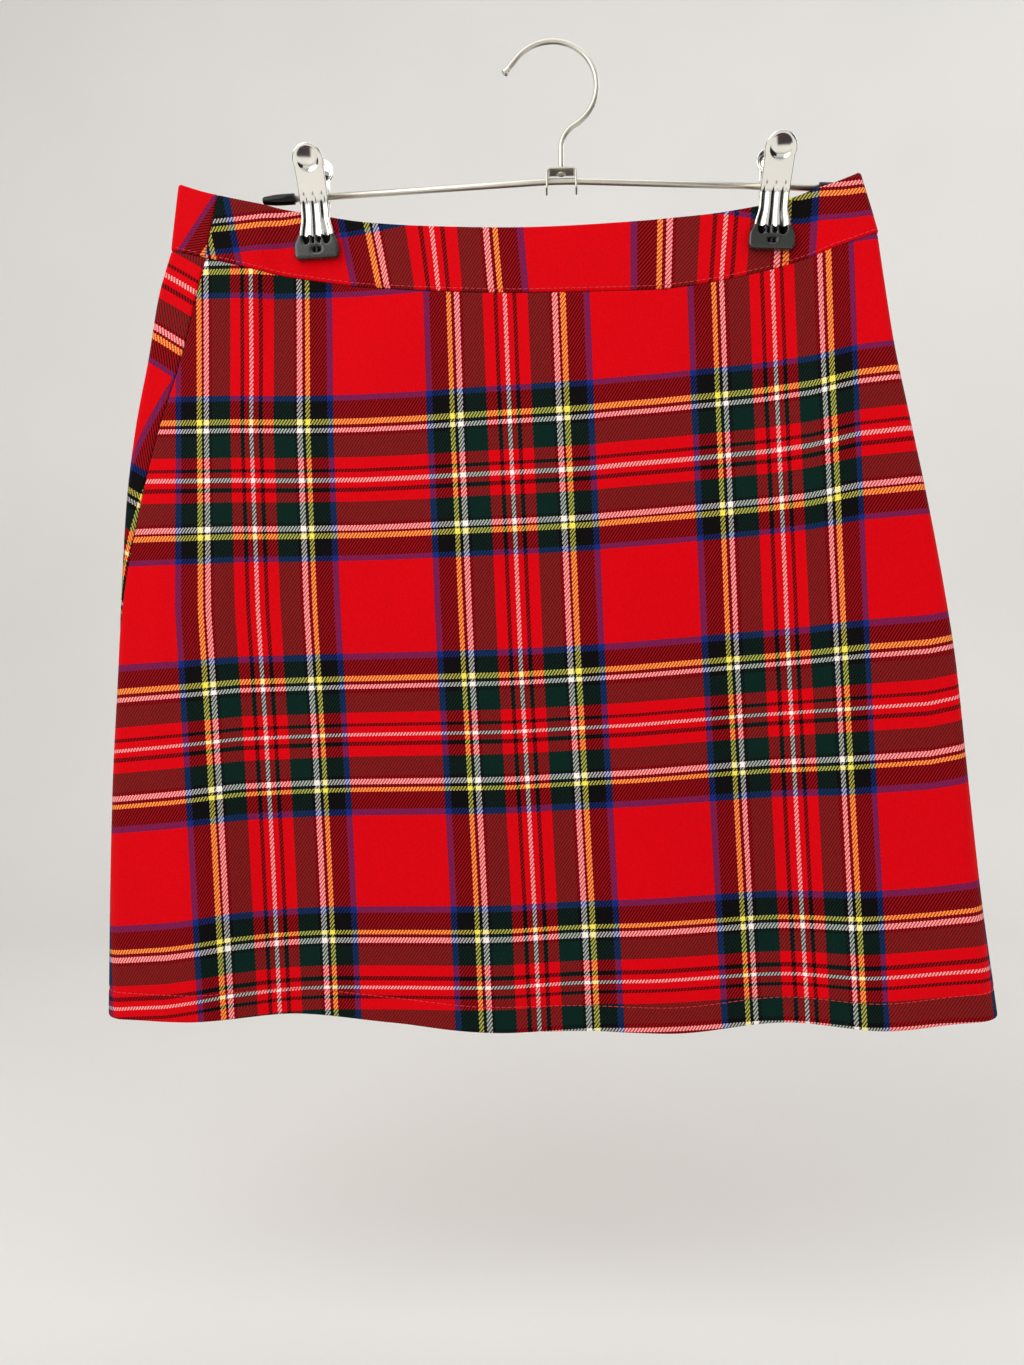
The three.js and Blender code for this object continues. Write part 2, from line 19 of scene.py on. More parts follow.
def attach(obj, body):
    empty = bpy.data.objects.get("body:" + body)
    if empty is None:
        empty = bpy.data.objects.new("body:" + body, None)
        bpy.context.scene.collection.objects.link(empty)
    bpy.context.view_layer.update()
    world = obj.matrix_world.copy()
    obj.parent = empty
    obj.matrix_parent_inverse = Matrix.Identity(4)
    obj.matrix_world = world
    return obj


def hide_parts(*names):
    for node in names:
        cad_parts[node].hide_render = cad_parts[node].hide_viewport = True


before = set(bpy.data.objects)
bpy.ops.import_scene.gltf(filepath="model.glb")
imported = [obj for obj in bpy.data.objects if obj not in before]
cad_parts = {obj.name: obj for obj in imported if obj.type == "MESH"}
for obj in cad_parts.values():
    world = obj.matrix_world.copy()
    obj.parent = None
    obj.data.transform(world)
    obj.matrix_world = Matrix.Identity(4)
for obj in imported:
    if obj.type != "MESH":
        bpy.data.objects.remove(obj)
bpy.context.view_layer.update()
MM = 0.001  # the lesson counts in millimetres and Blender in metres
print("nodes:", len(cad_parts))

# %% [markdown]
# ## Camera
#
# The skirt is seen straight on from about half a metre, turned three degrees. The lens is
# given by its focal length on a 36 mm sensor, which Blender lays along the longer side of
# the frame.

# %% Camera
VIEW_DISTANCE = 526
VIEW_TURN = math.radians(3)
VIEW_X, VIEW_Z = -20, -327  # the point that it looks at
FOCAL_LENGTH = 27.03

camera = bpy.data.objects.new("camera", bpy.data.cameras.new("camera"))
camera.data.lens = FOCAL_LENGTH
camera.data.sensor_width = 36
aside, away = VIEW_DISTANCE * math.sin(VIEW_TURN), VIEW_DISTANCE * math.cos(VIEW_TURN)
camera.location = MM * Vector((VIEW_X + aside, -away, VIEW_Z))
camera.rotation_euler = (math.pi / 2, 0, VIEW_TURN)
camera.data.clip_start = 0.01
bpy.context.scene.collection.objects.link(camera)
bpy.context.scene.camera = camera
print("camera at", [round(c, 3) for c in camera.location])

# %% [markdown]
# ## Tables of the hung cloth
#
# A hung skirt has no simple formula. Its outline, depth and hem are read from short tables
# instead, with a smooth curve between the rows. The same tables shape the solids, so the
# fine cloth lies exactly where the frame holds it. The curve is a monotone cubic, because
# it never swings past a row.

# %% Read a table smoothly


def along(rows, column, at):
    """A smooth curve through one column of a table whose first column is the key."""
    keys = np.array([row[0] for row in rows], float)
    values = np.array([row[column] for row in rows], float)
    rise = np.diff(values) / np.diff(keys)
    before, after = rise[:-1], rise[1:]
    turning = before * after <= 0
    both = np.where(turning, 1, before + after)
    slope = np.concatenate([rise[:1], np.where(turning, 0, 2 * before * after / both), rise[-1:]])
    at = np.asarray(at, float)
    i = np.clip(np.searchsorted(keys, at) - 1, 0, len(keys) - 2)
    span = keys[i + 1] - keys[i]
    t = np.clip((at - keys[i]) / span, 0, 1)
    return (
        (2 * t**3 - 3 * t**2 + 1) * values[i]
        + (t**3 - 2 * t**2 + t) * span * slope[i]
        + (3 * t**2 - 2 * t**3) * values[i + 1]
        + (t**3 - t**2) * span * slope[i + 1]
    )


def straight(rows, at):
    """Straight lines through a table of pairs, carried on beyond both ends."""
    keys = np.array([row[0] for row in rows], float)
    values = np.array([row[1] for row in rows], float)
    i = np.clip(np.searchsorted(keys, at) - 1, 0, len(keys) - 2)
    return values[i] + (at - keys[i]) * (values[i + 1] - values[i]) / (keys[i + 1] - keys[i])


def mix(a, b, t):
    return a + (b - a) * t


def ease(t):
    t = np.clip(t, 0, 1)
    return t * t * (3 - 2 * t)


# %% Waist: place across, top edge, seam, half depth
WAIST = [
    (0.0, -68.5, -102.7),
    (0.05, -74.2, -107.2),
    (0.18, -83.4, -117.7),
    (0.35, -92.8, -125.9),
    (0.52, -95.4, -128.7),
    (0.68, -93.3, -128.2),
    (0.84, -86.8, -119.3),
    (0.95, -77.8, -107.6),
    (1.0, -71.4, -101.6),
]
WAIST_DEPTH = [
    (0.0, 5.2),
    (0.06, 5.6),
    (0.125, 5.0),
    (0.165, 2.2),
    (0.25, 2.2),
    (0.33, 4.4),
    (0.5, 5.4),
    (0.72, 4.4),
    (0.81, 2.2),
    (0.9, 2.2),
    (0.94, 5.4),
    (0.97, 5.6),
    (1.0, 5.6),
]

# %% Side folds: way down, left fold, right fold, and how far each side seam is rolled round
BAND_SIDES = [(0, -193.8, 155.8, 25.5, 13), (1, -197.8, 164.6, 22.7, 12)]
PANEL_SIDES = [
    (0.0, -197.6, 164.0, 22.4, 12),
    (0.06, -204.4, 167.4, 23.4, 11.5),
    (0.14, -209.7, 172.3, 21, 11),
    (0.23, -216.5, 179.6, 17, 10),
    (0.33, -221.4, 187.8, 13, 9),
    (0.45, -224.0, 196.5, 7, 7.5),
    (0.55, -225.6, 202.5, 1, 6),
    (0.7, -228.4, 208.5, -1.5, 4.5),
    (0.85, -229.6, 214.8, -2, 3.5),
    (1.0, -230.0, 222.7, -2, 3),
]

# %% Hem: place across, height, and how far front and back stand out
HEM = [
    (0.0, -498.5, 14, 12),
    (0.1, -499.3, 16, 13),
    (0.22, -497.4, 5, 8.5),
    (0.33, -500.6, 7, 12),
    (0.44, -503.9, 10, 8),
    (0.545, -503.3, 6, 9),
    (0.635, -503.1, 9, 11.5),
    (0.77, -497.6, 5, 8),
    (0.868, -496.9, 18, 11),
    (0.95, -494.0, 14, 14),
    (1.0, -492.3, 12, 12),
]

# %% [markdown]
# ## The loop of one level
#
# Seen from above, each level of the skirt is one closed loop of cloth: along the front,
# round the right fold and back along the rear. Walking a measured length along that loop
# keeps the cloth's own width, so a seam that is rolled a few centimetres round a fold falls
# where it should.

# %% One level of the tube
MIDDLE_HALF_DEPTH = 4.5
HIP_DOWN = 0.35
FLUTE_ONSET = 1.6
BAND_PROUD = 0.4
WAIST_FOLD_REACH = 3.5
HEM_FOLD_REACH = 12
FOLD_STEPS = 24  # samples across one fold, and across the flat cloth between the folds
FLAT_STEPS = 160


class Level:
    """A closed loop seen from above. Lengths count from the left fold, front first."""

    def __init__(self, left, right, reach, front, back):
        self.left, self.width, self.reach = left, right - left, reach
        near = (1 - np.cos(np.linspace(0, math.pi / 2, FOLD_STEPS + 1))) * reach / self.width
        flat = np.linspace(near[-1], 1 - near[-1], FLAT_STEPS + 1)[1:-1]
        across = np.concatenate([near, flat, 1 - near[::-1]])
        inward = np.clip(np.minimum(across, 1 - across) * self.width / reach, 0, 1)
        rounding = np.sqrt(1 - (1 - inward) ** 2)
        x = left + across * self.width
        x = np.concatenate([x, x[::-1][1:]])
        y = np.concatenate([-front(across) * rounding, (back(across) * rounding)[::-1][1:]])
        length = np.concatenate([[0], np.cumsum(np.hypot(np.diff(x), np.diff(y)))])
        self.total = length[-1]
        last = len(across) - 1
        self.right_fold = length[last]
        self.flat_from, self.flat_to = length[FOLD_STEPS], length[last - FOLD_STEPS]
        self.x = np.concatenate([x[:-1], x[:-1], x])
        self.y = np.concatenate([y[:-1], y[:-1], y])
        self.length = np.concatenate([length[:-1] - self.total, length[:-1], length + self.total])

    def at(self, length):
        return np.interp(length, self.length, self.x), np.interp(length, self.length, self.y)

    def outward(self, length):
        """The direction straight out of the cloth, in x and y."""
        x0, y0 = self.at(length - 0.4)
        x1, y1 = self.at(length + 0.4)
        size = np.hypot(x1 - x0, y1 - y0)
        return (y1 - y0) / size, -(x1 - x0) / size

    def unfolded(self, length):
        """Where a point of the front would be if the cloth lay flat past its folds."""
        x, _ = self.at(length)
        before = self.left + self.reach - (self.flat_from - length)
        after = self.left + self.width - self.reach + (length - self.flat_to)
        return np.where(length < self.flat_from, before, np.where(length > self.flat_to, after, x))


def panel_level(down):
    grown = down**FLUTE_ONSET

    def depth(column):
        def at(across):
            waist = along(WAIST_DEPTH, 1, across) - BAND_PROUD
            plain = mix(waist, MIDDLE_HALF_DEPTH, ease(down / HIP_DOWN))
            return mix(plain, along(HEM, column, across), grown)

        return at

    left, right = (float(along(PANEL_SIDES, column, down)) for column in (1, 2))
    reach = mix(WAIST_FOLD_REACH, HEM_FOLD_REACH, grown)
    return Level(left, right, reach, depth(2), depth(3))


def band_level(down):
    left, right = (float(along(BAND_SIDES, column, down)) for column in (1, 2))

    def depth(across):
        return along(WAIST_DEPTH, 1, across)

    return Level(left, right, WAIST_FOLD_REACH, depth, depth)


print("hem is", round(panel_level(1).total), "mm round, waist", round(band_level(0).total))

# %% [markdown]
# ## Places in the weave
#
# Tartan is printed by its threads, so every piece of cloth needs to know where it was cut
# from the bolt. Each vertex carries a place across and a place down the bolt, in a UV map
# called "cloth", and one sett of the pattern is 132.3 mm both ways. The front panel hangs
# almost straight, so a few lengthwise and crosswise lines with known places pin it.

# %% Front panel: where known lines of the sett run
SETT = 132.3
BLUE_PLACE = -25.45  # the blue line's place in the sett, from the middle of a red square
FRONT_LENGTHWISE = {  # place across the bolt, in setts: x of that line at heights z
    -1.308: [(-413, -183), (-290, -191.6), (-155, -192.6)],
    -1: [
        (-490, -139.4), (-413, -143), (-352, -146.4), (-290, -150.5),
        (-228, -152.9), (-197, -154.3), (-120, -154.6),
    ],
    0: [
        (-490, -6.2), (-442, -8.3), (-382, -11.6), (-321, -15.1),
        (-260, -17.8), (-199, -20.7), (-143, -23),
    ],
    1: [
        (-486, 127.6), (-426, 124.3), (-366, 121.2), (-306, 118.3),
        (-246, 115.9), (-185, 113.6), (-134, 112),
    ],
    1.308: [(-411.9, 160.6), (-286.3, 155.9), (-161.2, 151.8)],
    1.692: [(-412, 216), (-286, 210), (-161, 206.4)],
}
FRONT_CROSSWISE = {  # place down the bolt, in setts: z of that line at places x
    -1: [(-200, -85.2), (-82, -84), (52, -75.1), (156, -61.4)],
    0: [
        (-200, -223.2), (-95, -223.2), (-40, -221.1), (20, -218.6), (70, -214.4),
        (110, -210.8), (130, -208.4), (154, -202.9), (176, -200.6),
    ],
    1: [
        (-208, -361), (-187, -359), (-160, -356), (-105, -353.8), (-20, -352),
        (42, -348.4), (92, -344.2), (141, -340.5), (187, -337.4), (200, -334.5),
    ],
    2: [
        (-216, -493.2), (-195, -491.6), (-165, -487), (-116, -483.4), (-20, -480.9),
        (55, -476.6), (105, -473.4), (151, -472), (200, -469),
    ],
}


def place_between(lines, at, where):
    """The place of a point among several lines, each given by a table of its own."""
    keys = sorted(lines)
    spots = [straight(lines[key], at) for key in keys]
    place = keys[0] + (keys[1] - keys[0]) * (where - spots[0]) / (spots[1] - spots[0])
    for key, next_key, spot, next_spot in zip(keys[1:], keys[2:], spots[1:], spots[2:]):
        share = (where - spot) / (next_spot - spot)
        place = np.where(share > 0, key + (next_key - key) * share, place)
    return place


def front_panel_place(x, z, _around, _down):
    across = place_between(FRONT_LENGTHWISE, z, x) * SETT
    down = place_between(FRONT_CROSSWISE, x, z) * SETT
    return across + SETT / 2, down + SETT / 2


# %% [markdown]
# The back panel shows as a narrow strip that is rolled round the left fold. Its place is
# found by turning that strip flat again about the leaning fold, and the grain of the strip
# then runs on over the whole back.

# %% Back panel: the strip at the fold, and the grain behind it
FOLD_LEAN = [(0, 12.4), (0.14, 12), (0.25, 9), (0.35, 7), (0.5, 3), (1, 1)]
BACK_DOWN = [  # height of a crosswise line, and its place down the bolt
    (-256.3, 198.45), (-224.3, 169.4), (-159.2, 106.85),
    (-147.4, 95.2), (-142.2, 91.1), (-115.9, 66.15),
]
BACK_RISE = [(-500, 0.08), (-300, 0.2), (-230, 0.3), (-150, 0.2), (-100, 0.13)]
BACK_EDGE = -222  # the strip's middle, in x
BACK_EASING = 50
BACK_LINE = (-226.7, -193)  # where the blue line crosses the strip, x and z
BACK_LEAN, BACK_LEAN_FAR = 0.119, 0.02  # how far the lengthwise lines lean, here and far round
BACK_FAR = 430


def turned_flat(x, z, around, down):
    """The place in the back's own plane of cloth that lies round the left fold."""
    lean = np.radians(straight(FOLD_LEAN, down)) * 2
    rolled = np.minimum(around, 0)
    return x - rolled * (1 - np.cos(lean)), z - rolled * np.sin(lean)


def back_panel_place(x, z, around, down):
    x, z = turned_flat(x, z, around, down)
    beyond = x - BACK_EDGE
    rise = straight(BACK_RISE, z) * np.where(
        beyond > 0, BACK_EASING * (1 - np.exp(-np.maximum(beyond, 0) / BACK_EASING)), beyond
    )
    lean = mix(BACK_LEAN, BACK_LEAN_FAR, np.clip(beyond / BACK_FAR, 0, 1))
    across = x - BACK_LINE[0] + lean * (z - BACK_LINE[1]) + BLUE_PLACE
    return across, straight(BACK_DOWN, z - rise)


# %% [markdown]
# The waistband is cut on a slight curve, so the sett bends as it goes round: a table gives
# the places of known lines at half height, how they lean, and how deep the sett's blue line
# lies under the top edge.

# %% Front waistband: places at half height, lean, and the blue line
BAND_ACROSS = [
    (-210.1, -198.45),
    (-163.8, -157.75),
    (-105, -106.85),
    (-59.1, -66.15),
    (-14.1, -25.45),
    (41.7, 25.45),
    (87.3, 66.15),
    (132.1, 106.85),
]
BAND_LEAN = [
    (-200, 0.21), (-91, 0.21), (-50, 0.087), (-10, 0.087),
    (54, -0.017), (87, -0.08), (132, -0.045), (180, -0.045),
]
BLUE_LINE_UNDER_TOP = [
    (-175.9, 31),
    (-128.8, 16.5),
    (-108.1, 9),
    (-77.1, 0),
    (4.6, -13),
    (89, 0),
    (124.7, 12),
    (134.6, 14),
    (161.2, 21),
]
BAND_LENGTH = 355


def front_band_place(x, z, _around, _down):
    across = np.clip((x - BAND_SIDES[0][1]) / BAND_LENGTH, 0, 1)
    top, seam = along(WAIST, 1, across), along(WAIST, 2, across)
    lean = straight(BAND_LEAN, np.clip(x, BAND_LEAN[0][0], BAND_LEAN[-1][0]))
    place = straight(BAND_ACROSS, x - lean * ((top + seam) / 2 - z))
    return place, BLUE_PLACE + (top - z) - straight(BLUE_LINE_UNDER_TOP, x)


# %% [markdown]
# The rear half of the band is cut further round its curve. Where its end comes round the
# left fold, its grain is turned by half a right angle and more, and it turns straight again
# behind the skirt.

# %% Back waistband: the blue line, by the way round from the left fold
BACK_BLUE_LINE = [
    (-25, 6.9), (-9.7, 35.2), (0, 50), (25, 52),
    (60, 38), (120, 12), (180, 0), (BAND_LENGTH, 25),
]
GRAIN_TURN = math.radians(61.6)
GRAIN_STRAIGHT = 40  # how far round the fold the grain has turned straight
GRAIN_GAIN = 0.4  # behind that the places run a little faster
FOLD_PLACE, FOLD_HALF_HEIGHT = 6.9, 16.5  # the place across the bolt at the fold's half height


def back_band_place(x, z, around, _down):
    across = np.clip((x - BAND_SIDES[0][1]) / BAND_LENGTH, 0, 1)
    under_top = along(WAIST, 1, across) - z
    turned = 1 - ease(around / GRAIN_STRAIGHT)
    shrink = mix(1, math.cos(GRAIN_TURN), turned)
    down = -BLUE_PLACE + shrink * (under_top - straight(BACK_BLUE_LINE, around))
    place = math.cos(GRAIN_TURN) * around + GRAIN_GAIN * np.maximum(around - GRAIN_STRAIGHT / 2, 0)
    slanted = math.sin(GRAIN_TURN) * turned * (under_top - FOLD_HALF_HEIGHT)
    return place + FOLD_PLACE + slanted, down


# %% [markdown]
# ## The weave
#
# The cloth is a two-and-two twill: every warp thread passes over two weft threads and then
# under two, one step further on in each row, which draws the diagonal lines. Warp and weft
# carry the same sett, so where they cross in different colours the eye mixes them. This is
# built as threads, not as a print: the shader counts threads, asks the sett for the colour
# of the warp and of the weft, and shows whichever lies on top.

# %% Small helpers for shader nodes


def new_group(name, inputs, outputs):
    """A shader group with named sockets: {name: (type, default)} in, {name: type} out."""
    group = bpy.data.node_groups.new(name, "ShaderNodeTree")
    for label, (kind, default) in inputs.items():
        socket = group.interface.new_socket(label, in_out="INPUT", socket_type=kind)
        if default is not None:
            socket.default_value = default
    for label, kind in outputs.items():
        group.interface.new_socket(label, in_out="OUTPUT", socket_type=kind)
    return group, group.nodes.new("NodeGroupInput"), group.nodes.new("NodeGroupOutput")


def feed(tree, socket, value):
    """Links a socket, or sets a plain value."""
    if isinstance(value, bpy.types.NodeSocket):
        tree.links.new(value, socket)
    else:
        socket.default_value = value


def sums(tree, operation, *values):
    """A Math node with these inputs. Gives its result's socket."""
    node = tree.nodes.new("ShaderNodeMath")
    node.operation = operation
    for socket, value in zip(node.inputs, values):
        feed(tree, socket, value)
    return node.outputs[0]


def blended(tree, kind, factor, a, b):
    """A Mix node for colours. Gives its result's socket."""
    node = tree.nodes.new("ShaderNodeMix")
    node.data_type = "RGBA"
    node.blend_type = kind
    for socket, value in zip((node.inputs[0], node.inputs[6], node.inputs[7]), (factor, a, b)):
        feed(tree, socket, value)
    return node.outputs[2]


def noise(tree, vector, scale, detail=3.0, roughness=0.5):
    node = tree.nodes.new("ShaderNodeTexNoise")
    feed(tree, node.inputs["Vector"], vector)
    node.inputs["Scale"].default_value = scale
    node.inputs["Detail"].default_value = detail
    node.inputs["Roughness"].default_value = roughness
    return node.outputs["Fac"]


def between(tree, value, low, high):
    """Takes a value from 0 to 1 into the range from low to high."""
    node = tree.nodes.new("ShaderNodeMapRange")
    for socket, number in zip(node.inputs, (value, 0.0, 1.0, low, high)):
        feed(tree, socket, number)
    return node.outputs[0]


def linear(red, green, blue):
    """A colour as a paint chart gives it (0 to 255), for a shader."""
    scaled = [c / 255 for c in (red, green, blue)]
    return tuple(c / 12.92 if c <= 0.04045 else ((c + 0.055) / 1.055) ** 2.4 for c in scaled) + (1.0,)


# %% The sett: thread colours from the middle of a red square to the middle white line
RED = linear(228, 0, 22)
BLACK = linear(20, 17, 18)
GREEN = linear(14, 52, 44)
BLUE = linear(34, 58, 142)
YELLOW = linear(252, 240, 112)
WHITE = linear(252, 248, 242)
HALF_SETT = [
    (RED, 23.9),
    (BLUE, 3.1),
    (BLACK, 8.9),
    (YELLOW, 2.4),
    (BLACK, 1.7),
    (WHITE, 2.4),
    (BLACK, 1.9),
    (GREEN, 10.4),
    (RED, 5.3),
    (BLACK, 2.1),
    (RED, 2.9),
    (WHITE, 1.15),
]


def sett_group():
    given = {"Place": ("NodeSocketFloat", 0.0)}
    group, given, out = new_group("sett colour", given, {"Color": "NodeSocketColor"})
    folded = sums(group, "PINGPONG", given.outputs["Place"], SETT / 2)
    ramp = group.nodes.new("ShaderNodeValToRGB")
    group.links.new(sums(group, "DIVIDE", folded, SETT / 2), ramp.inputs[0])
    ramp.color_ramp.interpolation = "CONSTANT"
    stops = ramp.color_ramp.elements
    while len(stops) > 1:
        stops.remove(stops[-1])
    total, reached = sum(width for _, width in HALF_SETT), 0.0
    for i, (colour, width) in enumerate(HALF_SETT):
        stop = stops[0] if i == 0 else stops.new(reached / total)
        stop.position = reached / total
        stop.color = colour
        reached += width
    group.links.new(ramp.outputs[0], out.inputs["Color"])
    return group


sett = sett_group()
print("half a sett is", round(sum(width for _, width in HALF_SETT), 2), "mm")

# %% The twill: which thread is on top, and its rounded height
END_PITCH = 0.40  # between warp threads, mm
PICK_PITCH = 0.56  # between weft threads


def twill_group():
    group, given, out = new_group(
        "two-and-two twill",
        {"Across": ("NodeSocketFloat", 0.0), "Down": ("NodeSocketFloat", 0.0)},
        {
            "Warp On Top": "NodeSocketFloat",
            "Warp Place": "NodeSocketFloat",
            "Weft Place": "NodeSocketFloat",
            "Height": "NodeSocketFloat",
            "Thread": "NodeSocketVector",
        },
    )
    ends = sums(group, "DIVIDE", given.outputs["Across"], END_PITCH)
    picks = sums(group, "DIVIDE", given.outputs["Down"], PICK_PITCH)
    end, pick = (sums(group, "FLOOR", count) for count in (ends, picks))
    step = sums(group, "FLOORED_MODULO", sums(group, "ADD", end, pick), 4.0)
    warp_on_top = sums(group, "LESS_THAN", step, 1.5)
    for label, thread, pitch in (("Warp Place", end, END_PITCH), ("Weft Place", pick, PICK_PITCH)):
        middle = sums(group, "MULTIPLY", sums(group, "ADD", thread, 0.5), pitch)
        group.links.new(middle, out.inputs[label])
    crowns = []
    for count in (ends, picks):
        off = sums(group, "SUBTRACT", sums(group, "MULTIPLY", sums(group, "FRACT", count), 2.0), 1.0)
        crowns.append(sums(group, "SUBTRACT", 1.0, sums(group, "MULTIPLY", off, off)))
    lower = sums(group, "MULTIPLY", crowns[1], 0.7)
    over = sums(group, "MULTIPLY", warp_on_top, crowns[0])
    under = sums(group, "MULTIPLY", sums(group, "SUBTRACT", 1.0, warp_on_top), lower)
    group.links.new(sums(group, "ADD", over, under), out.inputs["Height"])
    group.links.new(warp_on_top, out.inputs["Warp On Top"])
    number = group.nodes.new("ShaderNodeCombineXYZ")
    for socket, value in zip(number.inputs, (end, pick, warp_on_top)):
        feed(group, socket, value)
    group.links.new(number.outputs[0], out.inputs["Thread"])
    return group


twill = twill_group()

# %% [markdown]
# ## Finishes
#
# The cloth is matt with a faint nap, which a little sheen gives. Single threads differ a
# little in dye, and the whole cloth is a touch uneven where it has been handled, so two
# noises of very different size change its tone. Where threads cross, the thread on top is
# darkened by the colour of the one beneath: painted shade, standing in for the shadow and
# bounce light between the threads, so red over black is a dark red. The relief of the
# threads goes through a Bump node, with its distance near their real height.

# %% Start a material


def principled(name, **sockets):
    """A material with one Principled shader. Gives the material, its tree and the shader."""
    material = bpy.data.materials.new(name)
    material.use_nodes = True
    shader = material.node_tree.nodes["Principled BSDF"]
    for label, value in sockets.items():
        shader.inputs[label.replace("_", " ")].default_value = value
    return material, material.node_tree, shader


def add_bump(tree, shader, height, strength, distance):
    bump = tree.nodes.new("ShaderNodeBump")
    bump.inputs["Strength"].default_value = strength
    bump.inputs["Distance"].default_value = distance * MM
    feed(tree, bump.inputs["Height"], height)
    tree.links.new(bump.outputs[0], shader.inputs["Normal"])


def place_group(tree, group):
    node = tree.nodes.new("ShaderNodeGroup")
    node.node_tree = group
    return node


# %% Tartan cloth
# painted shade between crossing threads
CROSSING_PAINTED_SHADE = 0.5  # how far the thread below darkens the one on top


def tartan_cloth():
    material, tree, shader = principled(
        "tartan cloth", Specular_IOR_Level=0.07, Sheen_Weight=0.02, Sheen_Roughness=0.45
    )
    cloth = tree.nodes.new("ShaderNodeUVMap")
    cloth.uv_map = "cloth"
    metres = tree.nodes.new("ShaderNodeSeparateXYZ")
    tree.links.new(cloth.outputs[0], metres.inputs[0])
    weave = place_group(tree, twill)
    for label, socket in (("Across", metres.outputs[0]), ("Down", metres.outputs[1])):
        tree.links.new(sums(tree, "DIVIDE", socket, MM), weave.inputs[label])
    threads = []
    for label in ("Weft Place", "Warp Place"):
        colour = place_group(tree, sett)
        tree.links.new(weave.outputs[label], colour.inputs["Place"])
        threads.append(colour.outputs["Color"])
    shown = blended(tree, "MIX", weave.outputs["Warp On Top"], *threads)
    hidden = blended(tree, "MIX", weave.outputs["Warp On Top"], *reversed(threads))
    # painted shade: the thread on top is multiplied by the colour of the thread beneath
    shown = blended(tree, "MULTIPLY", CROSSING_PAINTED_SHADE, shown, hidden)
    dye = tree.nodes.new("ShaderNodeTexWhiteNoise")
    tree.links.new(weave.outputs["Thread"], dye.inputs["Vector"])
    handled = noise(tree, cloth.outputs[0], 14, 3, 0.55)
    uneven = between(tree, dye.outputs["Value"], 0.93, 1.07), between(tree, handled, 0.94, 1.06)
    tone = sums(tree, "MULTIPLY", *uneven)
    shade = tree.nodes.new("ShaderNodeCombineXYZ")
    for socket in shade.inputs:
        tree.links.new(tone, socket)
    tree.links.new(blended(tree, "MULTIPLY", 1.0, shown, shade.outputs[0]), shader.inputs["Base Color"])
    tree.links.new(between(tree, handled, 0.78, 0.94), shader.inputs["Roughness"])
    add_bump(tree, shader, weave.outputs["Height"], 0.4, 0.12)
    return material


CLOTH = tartan_cloth()

# %% Sewing thread


def sewing_thread():
    material, tree, shader = principled("red sewing thread", Roughness=0.6, Sheen_Weight=0.2)
    here = tree.nodes.new("ShaderNodeTexCoord").outputs["Object"]
    ply = tree.nodes.new("ShaderNodeTexWave")
    ply.bands_direction = "DIAGONAL"
    ply.inputs["Scale"].default_value = 900
    tree.links.new(here, ply.inputs["Vector"])
    tone = between(tree, noise(tree, here, 300), 0.0, 1.0)
    colour = blended(tree, "MIX", tone, linear(186, 4, 24), linear(228, 34, 50))
    tree.links.new(colour, shader.inputs["Base Color"])
    add_bump(tree, shader, ply.outputs["Fac"], 0.4, 0.05)
    return material


THREAD = sewing_thread()

# %% [markdown]
# Wire, plating and vinyl share one kind of wear: fine marks of handling that dull the gloss
# in places. It is one group with a size and an amount, and each finish uses its own values.
# In the jaw tips' hollows the vinyl is painted near black and loses its gloss and coat:
# painted shade in those recesses, marked on each tip by an attribute.

# %% Handling wear


def wear_group():
    group, given, out = new_group(
        "handling wear",
        {
            "Vector": ("NodeSocketVector", None),
            "Size": ("NodeSocketFloat", 1.0),
            "Amount": ("NodeSocketFloat", 0.5),
        },
        {"Smudge": "NodeSocketFloat", "Scratch": "NodeSocketFloat"},
    )
    sized = group.nodes.new("ShaderNodeVectorMath")
    sized.operation = "SCALE"
    group.links.new(given.outputs["Vector"], sized.inputs[0])
    group.links.new(given.outputs["Size"], sized.inputs["Scale"])
    smudge = noise(group, sized.outputs[0], 60, 4, 0.6)
    stretched = group.nodes.new("ShaderNodeMapping")
    stretched.inputs["Rotation"].default_value = (0.3, 0.5, 0.2)
    stretched.inputs["Scale"].default_value = (3000, 90, 220)
    group.links.new(sized.outputs[0], stretched.inputs["Vector"])
    scratch = noise(group, stretched.outputs[0], 1.0, 2, 0.5)
    for label, value in (("Smudge", smudge), ("Scratch", scratch)):
        group.links.new(sums(group, "MULTIPLY", value, given.outputs["Amount"]), out.inputs[label])
    return group


wear = wear_group()


def worn(tree, size, amount):
    node = place_group(tree, wear)
    tree.links.new(tree.nodes.new("ShaderNodeTexCoord").outputs["Object"], node.inputs["Vector"])
    node.inputs["Size"].default_value = size
    node.inputs["Amount"].default_value = amount
    return node


# %% Satin wire, bright plating, dipped vinyl


def satin_wire():
    material, tree, shader = principled("satin steel wire", Metallic=1.0)
    marks = worn(tree, 1.5, 1.0)
    colour = blended(tree, "MIX", marks.outputs["Smudge"], linear(208, 205, 192), linear(236, 233, 220))
    tree.links.new(colour, shader.inputs["Base Color"])
    tree.links.new(between(tree, marks.outputs["Scratch"], 0.3, 0.5), shader.inputs["Roughness"])
    add_bump(tree, shader, marks.outputs["Scratch"], 0.2, 0.03)
    return material


def bright_plating():
    material, tree, shader = principled("bright plating", Metallic=1.0)
    marks = worn(tree, 1.0, 1.0)
    colour = blended(tree, "MIX", marks.outputs["Smudge"], linear(240, 237, 228), linear(252, 250, 243))
    tree.links.new(colour, shader.inputs["Base Color"])
    tree.links.new(between(tree, marks.outputs["Smudge"], 0.07, 0.2), shader.inputs["Roughness"])
    add_bump(tree, shader, marks.outputs["Scratch"], 0.03, 0.03)
    return material


